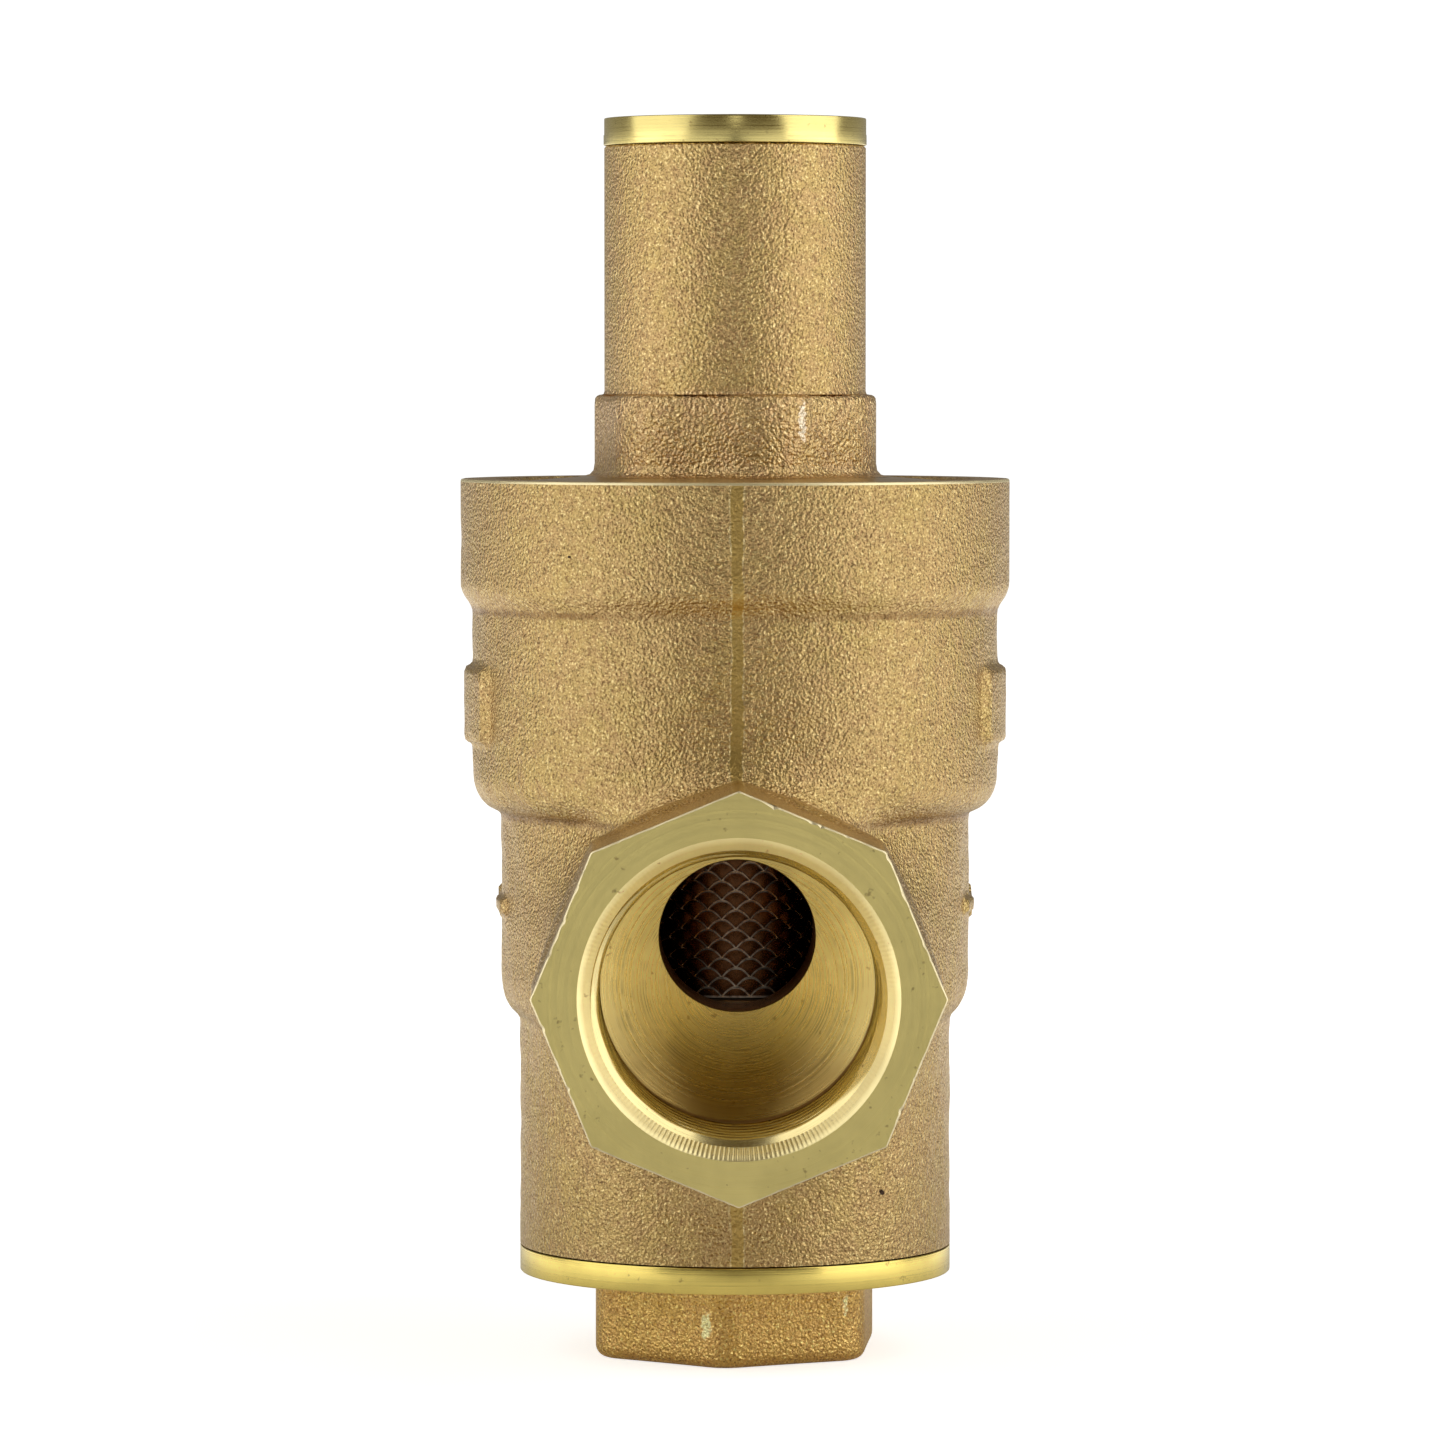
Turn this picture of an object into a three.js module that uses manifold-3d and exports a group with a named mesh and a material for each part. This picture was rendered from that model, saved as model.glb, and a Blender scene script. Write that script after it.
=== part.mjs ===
// A piston-type pressure reducing valve with half-inch threaded ends.
// Millimetres, +Z up. The origin is under the middle of the bottom plug,
// on the face that the valve stands on.
// Water enters at -Y, passes the strainer, rises through the seat and leaves at +Y.

import * as THREE from "three";
import { mergeVertices } from "three/addons/utils/BufferGeometryUtils.js";
import Module from "manifold-3d";

const wasm = await Module();
wasm.setup();

// ---------------------------------------------------------------- driving dimensions

const CLEARANCE = 0.3; // between a piece and the bore that holds it
const FACE_GAP = 0.1; // between two flat faces that meet
const FINE = 40; // facets round the large pieces
const COARSE = 24; // facets round the small pieces

const LENGTH = 68; // from the inlet face to the outlet face
const PORT_Z = 28.2; // height of the port axis

const PORT = {
  acrossFlats: 26,
  prismLength: 11.5,
  neckRadius: 12.4,
  threadRadius: 9.9, // pitch radius of the half-inch pipe thread
  chamferRadius: 10.85,
  chamferDepth: 1.1,
  grooveRadius: 10.6,
  grooveStart: 21, // from the valve's axis
  grooveEnd: 22.5,
  coneRadius: 9.5,
  coneAngle: THREE.MathUtils.degToRad(118),
};

const PASSAGE = {
  radius: 5.35,
  rise: 3.1, // of its centre above the port axis
  outletEnd: 17.5, // the outlet pocket is blind
  slantRadius: 2.8,
};

const BODY = {
  bottom: 7.85,
  footRadius: 15.45,
  footTopRadius: 15.4,
  firstStepZ: 27.4,
  waistRadius: 16.75,
  secondStepZ: 42.3,
  middleRadius: 18.8,
  middleTop: 53.45,
  cupRadius: 19.65,
  cupBottom: 54.8,
  top: 62.7,
  plugBore: 13.2,
  plugBoreTop: 15.2,
  chamber: 10.6,
  chamberTop: 38,
  seatBore: 6.5,
  pistonBore: 15.3,
  pistonFloor: 41.5,
  bonnetBore: 17,
  bonnetShoulder: 53.6,
};

const PAD = { low: 44, high: 49.3, halfWidth: 7, relief: 0.6 };
const ARROW = { z: 32.3, halfLength: 4.5, headLength: 3, halfHead: 1.25, halfShaft: 0.5, relief: 0.36 };

const BONNET = {
  bottom: 54.2,
  rimRadius: 16.7,
  rimTop: 62.0,
  coneRadius: 12.4,
  coneTop: 62.95,
  neckAcrossFlats: 19.2,
  neckCorner: 5.5,
  neckTurn: THREE.MathUtils.degToRad(-75),
  neckTop: 68.8,
  tubeRadius: 9.35,
  tubeTop: 86.4,
  bore: 7.7,
  recessRadius: 8.55, // holds the cap's gasket
  recessFloor: 85.85,
};

const CAP = {
  flangeRadius: 9.4,
  top: 88.4,
  flangeBottom: 86.45,
  spigotBottom: 83.4,
  slotWidth: 2,
  slotDepth: 1.2,
};
const GASKET = { inner: 7.75, outer: 8.45, bottom: 85.95, top: 86.35 };

const PLUG = {
  acrossFlats: 19.3,
  corner: 2.4,
  turn: THREE.MathUtils.degToRad(-95),
  flangeBottom: 5.9,
  flangeTop: 7.75,
  flangeRadius: 15.45,
  spigotRadius: 12.9,
  spigotTop: 12,
  hubRadius: 11.4,
  hubTop: 14.4,
  edge: 0.8,
};

const STRAINER = {
  radius: 8.5,
  wall: 0.3,
  bottom: 26.1,
  top: 36.5,
  lowerBottom: 14.6,
  lowerOuter: 9,
  upperTop: 37.6,
  upperOuter: 8.9,
  inner: 7.9,
};

const SEAT = { lipZ: 37.4, radius: 6.2, bore: 4.2, flangeRadius: 8.4, flangeBottom: 41.8, top: 42.7 };

const PISTON = {
  radius: 15,
  bottom: 43.9,
  top: 50.1,
  bossRadius: 4.6,
  bossTop: 52.4,
  bore: 1.9,
  ringGroove: 13.4,
  ringZ: 46,
  guideGroove: 14.1,
  guideLow: 48.1,
  guideHigh: 49.4,
};

const STEM = { radius: 1.6, bottom: 28, top: 55.6 };
const DISC = {
  holderBottom: 31.2,
  floor: 32.8,
  sealTop: 34.7,
  holderTop: 33.9,
  radius: 6.3,
  sealRadius: 5.5,
};
const SPRING = { bottom: 50.4, top: 74.5, wire: 1.7, radius: 6, turns: 7.5 };
const SCREW = { bottom: 77, top: 81.6, radius: 7.4, socketAcrossFlats: 6, socketDepth: 4 };
const PLATE = { top: 76.2, bottom: 74.8, radius: 7.3, bossRadius: 4.7, bossBottom: 72.8 };

// ---------------------------------------------------------------- finishes

const castBrass = { color: 0xa8874f, roughness: 0.55, metalness: 1 };
const turnedBrass = { color: 0xcdb36a, roughness: 0.3, metalness: 1 };
const stainless = { color: 0xb9b9b4, roughness: 0.35, metalness: 1 };
const amberSteel = { color: 0x5a3a18, roughness: 0.4, metalness: 1 };
const blackRubber = { color: 0x1b1b1b, roughness: 0.7, metalness: 0 };
const greyFibre = { color: 0x3c3a36, roughness: 0.9, metalness: 0 };
const whitePlastic = { color: 0xd9d6cc, roughness: 0.5, metalness: 0 };

// ---------------------------------------------------------------- solids

// A closed three.js geometry as a manifold-3d solid.
function solid(geometry) {
  const bare = geometry.clone();
  bare.deleteAttribute("normal");
  bare.deleteAttribute("uv");
  const merged = mergeVertices(bare, 1e-4);
  const corners = merged.index.array;
  const kept = [];
  for (let i = 0; i < corners.length; i += 3) {
    const [a, b, c] = corners.slice(i, i + 3);
    if (a !== b && b !== c && c !== a) kept.push(a, b, c);
  }
  return new wasm.Manifold(
    new wasm.Mesh({
      numProp: 3,
      vertProperties: merged.attributes.position.array,
      triVerts: new Uint32Array(kept),
    }),
  );
}

function geometryOf(manifold) {
  const mesh = manifold.getMesh();
  const geometry = new THREE.BufferGeometry();
  geometry.setAttribute("position", new THREE.BufferAttribute(mesh.vertProperties, 3));
  geometry.setIndex(new THREE.BufferAttribute(mesh.triVerts, 1));
  geometry.computeVertexNormals();
  return geometry;
}

// A profile of [radius, height] points turned round Z.
// It runs anticlockwise, from the axis or as a closed loop.
function turned(profile, facets = COARSE) {
  const points = profile.map(([radius, z]) => new THREE.Vector2(radius, z));
  return solid(new THREE.LatheGeometry(points, facets).rotateX(Math.PI / 2));
}

// A ring of rectangular section.
function ring(inner, outer, bottom, top, facets = COARSE) {
  const corners = [[inner, bottom], [outer, bottom], [outer, top], [inner, top], [inner, bottom]];
  return turned(corners, facets);
}

function disc(radius, bottom, top, facets = COARSE) {
  return turned([[0, bottom], [radius, bottom], [radius, top], [0, top]], facets);
}

// A ring of round section, such as an O-ring.
function roundRing(radius, section, z) {
  return solid(new THREE.TorusGeometry(radius, section, 6, COARSE).translate(0, 0, z));
}

// A quarter of an ellipse from straight down to straight out, centred at [radius, z].
function quarter(radius, z, across, down, steps) {
  const points = [];
  for (let i = 0; i <= steps; i++) {
    const angle = -Math.PI / 2 + ((Math.PI / 2) * i) / steps;
    points.push([radius + across * Math.cos(angle), z + down * Math.sin(angle)]);
  }
  return points;
}

// A regular polygon with its first corner at the given angle, each corner rounded by an arc.
function polygon(sides, acrossFlats, cornerRadius, firstCorner) {
  const shape = new THREE.Shape();
  const half = Math.PI / sides;
  const reach = (acrossFlats / 2 - cornerRadius) / Math.cos(half);
  for (let i = 0; i < sides; i++) {
    const angle = firstCorner + 2 * half * i;
    const x = reach * Math.cos(angle);
    const y = reach * Math.sin(angle);
    if (cornerRadius === 0) {
      if (i === 0) shape.moveTo(x, y);
      else shape.lineTo(x, y);
    } else {
      shape.absarc(x, y, cornerRadius, angle - half, angle + half, false);
    }
  }
  shape.closePath();
  return shape;
}

// A shape in the XY plane raised from bottom to top, with an optional bevel inside its outline.
function raised(shape, bottom, top, edge = 0, curveSegments = 4) {
  const settings = { depth: top - bottom - 2 * edge, bevelEnabled: edge > 0, curveSegments };
  if (edge > 0) {
    const bevel = { bevelThickness: edge, bevelSize: edge, bevelOffset: -edge, bevelSegments: 3 };
    Object.assign(settings, bevel);
  }
  return solid(new THREE.ExtrudeGeometry(shape, settings).translate(0, 0, bottom + edge));
}

// A round bar from one point to another.
function bar(from, to, radius, facets = COARSE) {
  const along = to.clone().sub(from);
  const upward = new THREE.Vector3(0, 1, 0);
  const turn = new THREE.Quaternion().setFromUnitVectors(upward, along.clone().normalize());
  const middle = from.clone().add(to).multiplyScalar(0.5);
  const geometry = new THREE.CylinderGeometry(radius, radius, along.length(), facets);
  return solid(geometry.applyQuaternion(turn).translate(middle.x, middle.y, middle.z));
}

function nut(acrossFlats, bore, bottom, top) {
  const shape = polygon(6, acrossFlats, 0, 0);
  return raised(shape, bottom, top).subtract(disc(bore, bottom - 1, top + 1, 20));
}

const part = new THREE.Group();

function add(name, manifold, finish) {
  const mesh = new THREE.Mesh(geometryOf(manifold), new THREE.MeshStandardMaterial(finish));
  mesh.name = name;
  part.add(mesh);
}

// ---------------------------------------------------------------- valve body

function bodyOutside() {
  return turned(
    [
      [0, BODY.bottom],
      [BODY.footRadius, BODY.bottom],
      ...quarter(BODY.footTopRadius, BODY.firstStepZ, BODY.waistRadius - BODY.footTopRadius, 2.9, 4),
      ...quarter(BODY.waistRadius, BODY.secondStepZ, BODY.middleRadius - BODY.waistRadius, 3, 4),
      [BODY.middleRadius, BODY.middleTop],
      [BODY.cupRadius, BODY.cupBottom],
      [BODY.cupRadius, BODY.top],
      [0, BODY.top],
    ],
    FINE,
  );
}

// One octagonal end with the neck that joins it to the body, towards -Y.
function portOutside() {
  const face = LENGTH / 2;
  const prism = new THREE.ExtrudeGeometry(polygon(8, PORT.acrossFlats, 0, Math.PI / 2), {
    depth: PORT.prismLength,
    bevelEnabled: false,
  });
  prism.rotateX(Math.PI / 2).translate(0, -(face - PORT.prismLength), PORT_Z);
  const outerEnd = face - PORT.prismLength + 1;
  const flare = [
    [0, 8],
    [15, 8],
    [14.4, 16.5],
    [13.2, 18.5],
    [PORT.neckRadius, 21],
    [PORT.neckRadius, outerEnd],
    [0, outerEnd],
  ];
  const neck = new THREE.LatheGeometry(
    flare.map(([radius, distance]) => new THREE.Vector2(radius, distance)),
    FINE,
  );
  return solid(prism).add(solid(neck.rotateX(Math.PI).translate(0, 0, PORT_Z)));
}

// The thread, its run-out groove and the drill's cone, towards -Y.
function portBore() {
  const apex = PORT.grooveStart - PORT.coneRadius / Math.tan(PORT.coneAngle / 2);
  const face = LENGTH / 2;
  const profile = [
    [0, apex],
    [PORT.coneRadius, PORT.grooveStart],
    [PORT.grooveRadius, PORT.grooveStart],
    [PORT.grooveRadius, PORT.grooveEnd],
    [PORT.threadRadius, PORT.grooveEnd],
    [PORT.threadRadius, face - PORT.chamferDepth],
    [PORT.chamferRadius, face],
    [PORT.chamferRadius, face + 1],
    [0, face + 1],
  ];
  const geometry = new THREE.LatheGeometry(
    profile.map(([radius, distance]) => new THREE.Vector2(radius, distance)),
    FINE,
  );
  return solid(geometry.rotateX(Math.PI).translate(0, 0, PORT_Z));
}

function halfTurned(manifold) {
  return manifold.rotate([0, 0, 180]);
}

function passages() {
  const z = PORT_Z + PASSAGE.rise;
  const mouth = PORT.grooveEnd;
  const point = (y, height) => new THREE.Vector3(0, y, height);
  const inlet = bar(point(-mouth, z), point(-6, z), PASSAGE.radius);
  const pocket = bar(point(PASSAGE.outletEnd, z), point(mouth, z), PASSAGE.radius);
  const slant = bar(point(19.4, z - 0.6), point(12, BODY.pistonFloor + 1), PASSAGE.slantRadius, 20);
  return inlet.add(pocket).add(slant);
}

function bodyInside() {
  return turned(
    [
      [0, BODY.bottom - 1],
      [BODY.plugBore, BODY.bottom - 1],
      [BODY.plugBore, BODY.plugBoreTop],
      [BODY.chamber, BODY.plugBoreTop],
      [BODY.chamber, BODY.chamberTop],
      [BODY.seatBore, BODY.chamberTop],
      [BODY.seatBore, BODY.pistonFloor],
      [BODY.pistonBore, BODY.pistonFloor],
      [BODY.pistonBore, BODY.bonnetShoulder],
      [BODY.bonnetBore, BODY.bonnetShoulder],
      [BODY.bonnetBore, BODY.top + 1],
      [0, BODY.top + 1],
    ],
    FINE,
  );
}

// Raised casting marks on the +X side: a plain pad on the middle and a flow arrow on the waist.
function castMarks() {
  const padDepth = 4;
  const pad = new THREE.BoxGeometry(padDepth, 2 * PAD.halfWidth, PAD.high - PAD.low);
  pad.translate(BODY.middleRadius, 0, (PAD.high + PAD.low) / 2);
  const padLimit = disc(BODY.middleRadius + PAD.relief, PAD.low - 1, PAD.high + 1, FINE * 2);

  const tip = ARROW.halfLength;
  const back = tip - ARROW.headLength;
  const outline = new THREE.Shape([
    new THREE.Vector2(tip, 0),
    new THREE.Vector2(back, ARROW.halfHead),
    new THREE.Vector2(back, ARROW.halfShaft),
    new THREE.Vector2(-tip, ARROW.halfShaft),
    new THREE.Vector2(-tip, -ARROW.halfShaft),
    new THREE.Vector2(back, -ARROW.halfShaft),
    new THREE.Vector2(back, -ARROW.halfHead),
  ]);
  const arrow = new THREE.ExtrudeGeometry(outline, { depth: 4, bevelEnabled: false });
  arrow.rotateX(Math.PI / 2).rotateZ(Math.PI / 2).translate(BODY.waistRadius - 3, 0, ARROW.z);
  const arrowLimit = disc(BODY.waistRadius + ARROW.relief, ARROW.z - 3, ARROW.z + 3, FINE * 2);
  return solid(pad).intersect(padLimit).add(solid(arrow).intersect(arrowLimit));
}

function valveBody() {
  const inletEnd = portOutside();
  const inletBore = portBore();
  const marks = castMarks();
  return bodyOutside()
    .add(inletEnd)
    .add(halfTurned(inletEnd))
    .add(marks)
    .add(marks.mirror([1, 0, 0]))
    .subtract(bodyInside())
    .subtract(inletBore)
    .subtract(halfTurned(inletBore))
    .subtract(passages());
}

// ---------------------------------------------------------------- bonnet, cap and adjuster

function bonnet() {
  const outside = turned(
    [
      [0, BONNET.bottom],
      [BONNET.rimRadius, BONNET.bottom],
      [BONNET.rimRadius, BONNET.rimTop],
      [BONNET.coneRadius, BONNET.coneTop],
      [BONNET.tubeRadius, BONNET.coneTop],
      [BONNET.tubeRadius, BONNET.tubeTop],
      [0, BONNET.tubeTop],
    ],
    FINE,
  );
  const outline = polygon(6, BONNET.neckAcrossFlats, BONNET.neckCorner, BONNET.neckTurn);
  const neck = raised(outline, BONNET.rimTop - 2, BONNET.neckTop, 0.5);
  const bore = disc(BONNET.bore, BONNET.bottom - 1, BONNET.tubeTop + 1, FINE);
  const recess = disc(BONNET.recessRadius, BONNET.recessFloor, BONNET.tubeTop + 1, FINE);
  return outside.add(neck).subtract(bore).subtract(recess);
}

function adjusterCap() {
  const slot = new THREE.BoxGeometry(2 * CAP.flangeRadius + 2, CAP.slotWidth, 2 * CAP.slotDepth);
  slot.translate(0, 0, CAP.top);
  return disc(CAP.flangeRadius, CAP.flangeBottom, CAP.top, FINE)
    .add(disc(BONNET.bore - CLEARANCE, CAP.spigotBottom, CAP.flangeBottom + 0.5, FINE))
    .subtract(solid(slot));
}

function adjustingScrew() {
  const socket = polygon(6, SCREW.socketAcrossFlats, 0, 0);
  return disc(SCREW.radius, SCREW.bottom, SCREW.top).subtract(
    raised(socket, SCREW.top - SCREW.socketDepth, SCREW.top + 1),
  );
}

function upperSpringSeat() {
  return turned([
    [0, PLATE.bossBottom],
    [PLATE.bossRadius, PLATE.bossBottom],
    [PLATE.bossRadius, PLATE.bottom],
    [PLATE.radius, PLATE.bottom],
    [PLATE.radius, PLATE.top],
    [0, PLATE.top],
  ]);
}

// A helix whose first and last turns lie flat, so that the spring stands on closed ends.
class SpringLine extends THREE.Curve {
  getPoint(t, target = new THREE.Vector3()) {
    const angle = 2 * Math.PI * SPRING.turns * t;
    const flat = 1 / SPRING.turns;
    const climb = THREE.MathUtils.clamp((t - flat * 0.8) / (1 - flat * 1.6), 0, 1);
    const low = SPRING.bottom + SPRING.wire / 2;
    const high = SPRING.top - SPRING.wire / 2;
    const z = low + (high - low) * climb;
    return target.set(SPRING.radius * Math.cos(angle), SPRING.radius * Math.sin(angle), z);
  }
}

function mainSpring() {
  const section = polygon(6, SPRING.wire, 0, 0);
  const steps = Math.round(SPRING.turns * 10);
  return solid(
    new THREE.ExtrudeGeometry(section, { steps, bevelEnabled: false, extrudePath: new SpringLine() }),
  );
}

// ---------------------------------------------------------------- piston and disc

function piston() {
  const ringHalf = 1;
  return turned(
    [
      [PISTON.bore, PISTON.bottom],
      [PISTON.radius - 0.4, PISTON.bottom],
      [PISTON.radius, PISTON.bottom + 0.4],
      [PISTON.radius, PISTON.ringZ - ringHalf],
      [PISTON.ringGroove, PISTON.ringZ - ringHalf],
      [PISTON.ringGroove, PISTON.ringZ + ringHalf],
      [PISTON.radius, PISTON.ringZ + ringHalf],
      [PISTON.radius, PISTON.guideLow],
      [PISTON.guideGroove, PISTON.guideLow],
      [PISTON.guideGroove, PISTON.guideHigh],
      [PISTON.radius, PISTON.guideHigh],
      [PISTON.radius, PISTON.top],
      [PISTON.bossRadius, PISTON.top],
      [PISTON.bossRadius, PISTON.bossTop],
      [PISTON.bore, PISTON.bossTop],
      [PISTON.bore, PISTON.bottom],
    ],
    COARSE,
  );
}

function discHolder() {
  return turned([
    [STEM.radius + CLEARANCE, DISC.holderBottom],
    [DISC.radius, DISC.holderBottom],
    [DISC.radius, DISC.holderTop],
    [DISC.sealRadius + 0.2, DISC.holderTop],
    [DISC.sealRadius + 0.2, DISC.floor],
    [STEM.radius + CLEARANCE, DISC.floor],
    [STEM.radius + CLEARANCE, DISC.holderBottom],
  ]);
}

// ---------------------------------------------------------------- seat, strainer and plug

function seatRing() {
  return turned([
    [SEAT.bore, SEAT.lipZ + 0.6],
    [SEAT.bore + 0.5, SEAT.lipZ],
    [SEAT.radius, SEAT.lipZ + 0.6],
    [SEAT.radius, SEAT.flangeBottom],
    [SEAT.flangeRadius, SEAT.flangeBottom],
    [SEAT.flangeRadius, SEAT.top],
    [SEAT.bore, SEAT.top],
    [SEAT.bore, SEAT.lipZ + 0.6],
  ]);
}

function bottomPlug() {
  const boss = raised(
    polygon(6, PLUG.acrossFlats, PLUG.corner, PLUG.turn),
    0,
    PLUG.flangeTop - 0.4,
    PLUG.edge,
  );
  const turnedPart = turned(
    [
      [0, PLUG.flangeBottom],
      [PLUG.flangeRadius, PLUG.flangeBottom],
      [PLUG.flangeRadius, PLUG.flangeTop],
      [PLUG.spigotRadius, PLUG.flangeTop],
      [PLUG.spigotRadius, PLUG.spigotTop],
      [PLUG.hubRadius, PLUG.spigotTop],
      [PLUG.hubRadius, PLUG.hubTop],
      [0, PLUG.hubTop],
    ],
    FINE,
  );
  return boss.add(turnedPart);
}

// ---------------------------------------------------------------- assembly

const stemHole = STEM.radius + CLEARANCE;
const washerTop = DISC.holderBottom - FACE_GAP;
const washerBottom = washerTop - 0.6;
const nutTop = washerBottom - FACE_GAP;
const plugRing = { radius: 12.3, section: 0.75 };
const pistonRing = { radius: 14.35, section: 0.85 };

add("valve_body", valveBody(), castBrass);
add("bonnet", bonnet(), castBrass);
add("bonnet_gasket", ring(15.4, 16.8, BODY.bonnetShoulder + FACE_GAP, BONNET.bottom - FACE_GAP), greyFibre);
add("cap_gasket", ring(GASKET.inner, GASKET.outer, GASKET.bottom, GASKET.top, FINE), greyFibre);
add("adjuster_cap", adjusterCap(), turnedBrass);
add("adjusting_screw", adjustingScrew(), turnedBrass);
add("thrust_washer", ring(3, 6.8, PLATE.top + FACE_GAP, SCREW.bottom - FACE_GAP), whitePlastic);
add("upper_spring_seat", upperSpringSeat(), stainless);
add("main_spring", mainSpring(), stainless);

add("piston", piston(), turnedBrass);
add("piston_o_ring", roundRing(pistonRing.radius, pistonRing.section, PISTON.ringZ), blackRubber);
const guideInner = PISTON.guideGroove + FACE_GAP;
const guideOuter = PISTON.radius + 0.15;
const guideLow = PISTON.guideLow + FACE_GAP;
const guideHigh = PISTON.guideHigh - FACE_GAP;
add("guide_ring", ring(guideInner, guideOuter, guideLow, guideHigh), whitePlastic);
add("stem", disc(STEM.radius, STEM.bottom, STEM.top, 20), stainless);
add("stem_nut", nut(5.5, stemHole, PISTON.bossTop + FACE_GAP, STEM.top - 0.6), stainless);

add("seat_ring", seatRing(), stainless);
add("seat_o_ring", ring(6.7, 8.2, BODY.pistonFloor + 0.05, SEAT.flangeBottom - 0.05), blackRubber);
add("disc_holder", discHolder(), turnedBrass);
add("disc_seal", ring(stemHole, DISC.sealRadius, DISC.floor + FACE_GAP, DISC.sealTop), blackRubber);
add("disc_washer", ring(stemHole, 3.6, washerBottom, washerTop, 24), stainless);
add("disc_nut", nut(5.5, stemHole, nutTop - 2, nutTop), stainless);

const meshInner = STRAINER.radius - STRAINER.wall;
add("strainer_mesh", ring(meshInner, STRAINER.radius, STRAINER.bottom, STRAINER.top), amberSteel);
add(
  "strainer_upper_collar",
  ring(STRAINER.inner, STRAINER.upperOuter, STRAINER.top + FACE_GAP, STRAINER.upperTop),
  amberSteel,
);
add(
  "strainer_lower_collar",
  ring(STRAINER.inner, STRAINER.lowerOuter, STRAINER.lowerBottom, STRAINER.bottom - FACE_GAP),
  amberSteel,
);
add("bottom_plug", bottomPlug(), turnedBrass);
add("plug_o_ring", roundRing(plugRing.radius, plugRing.section, PLUG.spigotTop + 0.85), blackRubber);

export default part;
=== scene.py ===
"""A brass piston pressure reducing valve on a white studio floor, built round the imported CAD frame.

Lengths are millimetres in this script until a mesh is made, where MM turns them into metres.
+Z is up, the inlet faces the camera at -Y and the outlet faces +Y.
"""

import math

import bpy
import numpy as np
import openvdb
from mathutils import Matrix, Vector


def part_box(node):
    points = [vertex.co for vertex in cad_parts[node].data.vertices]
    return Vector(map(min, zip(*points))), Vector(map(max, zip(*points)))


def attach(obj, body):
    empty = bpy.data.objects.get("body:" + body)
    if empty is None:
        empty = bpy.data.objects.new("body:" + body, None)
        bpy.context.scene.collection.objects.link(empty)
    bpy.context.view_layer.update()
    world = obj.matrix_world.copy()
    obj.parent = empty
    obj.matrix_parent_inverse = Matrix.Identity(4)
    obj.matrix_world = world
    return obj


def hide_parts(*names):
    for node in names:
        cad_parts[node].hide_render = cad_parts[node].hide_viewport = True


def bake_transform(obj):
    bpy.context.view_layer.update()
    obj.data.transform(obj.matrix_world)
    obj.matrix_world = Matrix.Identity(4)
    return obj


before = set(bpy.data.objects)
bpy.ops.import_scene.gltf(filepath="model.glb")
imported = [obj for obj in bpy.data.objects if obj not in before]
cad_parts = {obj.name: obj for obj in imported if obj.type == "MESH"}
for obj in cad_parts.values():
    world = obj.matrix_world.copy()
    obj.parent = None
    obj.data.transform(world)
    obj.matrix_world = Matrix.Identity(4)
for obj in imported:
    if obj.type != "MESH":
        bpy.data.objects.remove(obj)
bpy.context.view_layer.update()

MM = 0.001
TAU = 2 * math.pi


def cad_box(node):
    """Lowest and highest corner of a CAD node, in millimetres."""
    low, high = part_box(node)
    return np.array(low) / MM, np.array(high) / MM


BODY_LOW, BODY_HIGH = cad_box("valve_body")
BONNET_LOW, BONNET_HIGH = cad_box("bonnet")
CAP_LOW, CAP_HIGH = cad_box("adjuster_cap")
PLUG_HIGH = cad_box("bottom_plug")[1]
MESH_LOW, MESH_HIGH = cad_box("strainer_mesh")

PORT_Z = 28.2
FACE = BODY_HIGH[1]  # distance of each port face from the valve's axis
PRISM = 11.5  # length of the octagonal part of a port
OCTAGON = 26.0  # across flats
OCTAGON_CORNER = 0.35
NECK_RADIUS = 12.4
FOOT_RADIUS = 15.4
WAIST_RADIUS = 16.75
MIDDLE_RADIUS = 18.8
CUP_RADIUS = 19.65
RIM_Z = BODY_HIGH[2]
BODY_Z = BODY_LOW[2]


# ---- mesh helpers


def place(name, data):
    """A new object in the scene."""
    made = bpy.data.objects.new(name, data)
    bpy.context.scene.collection.objects.link(made)
    return made


def xyz(x, y, z):
    """Points from their coordinates, of which some may be the same for all."""
    return np.stack(np.broadcast_arrays(x, y, z), axis=-1)


def new_object(name, points, faces, smooth=40):
    """A mesh object from points in millimetres. Edges sharper than smooth degrees stay sharp."""
    mesh = bpy.data.meshes.new(name)
    mesh.from_pydata((np.asarray(points, float) * MM).tolist(), [], faces)
    mesh.validate()
    mesh.shade_smooth()
    mesh.set_sharp_from_angle(angle=math.radians(smooth))
    return place(name, mesh)


def grid_faces(rows, columns, wrap_rows=False, wrap_columns=True, start=0):
    """Quads of a grid of points kept row by row. Columns wrap round a turned shape."""
    faces = []
    for i in range(rows if wrap_rows else rows - 1):
        for j in range(columns if wrap_columns else columns - 1):
            below, above = start + i * columns, start + (i + 1) % rows * columns
            right = (j + 1) % columns
            faces.append((below + j, below + right, above + right, above + j))
    return faces


def rounded(corners, radius, steps=4, closed=False):
    """A profile with each inner corner cut by an arc, by radius or by less where a side is short."""
    points = [np.array(c, float) for c in corners]
    count = len(points)
    out = []
    for i, p in enumerate(points):
        if not closed and i in (0, count - 1):
            out.append(p)
            continue
        before, after = points[i - 1] - p, points[(i + 1) % count] - p
        a, b = np.linalg.norm(before), np.linalg.norm(after)
        wanted = radius[i] if isinstance(radius, (list, tuple)) else radius
        cut = min(wanted, 0.45 * a, 0.45 * b)
        start, end = p + before / a * cut, p + after / b * cut
        if cut < 1e-6:
            out.append(p)
            continue
        for k in range(steps + 1):
            t = k / steps
            out.append((1 - t) ** 2 * start + 2 * t * (1 - t) * p + t**2 * end)
    return np.array(out)


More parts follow.
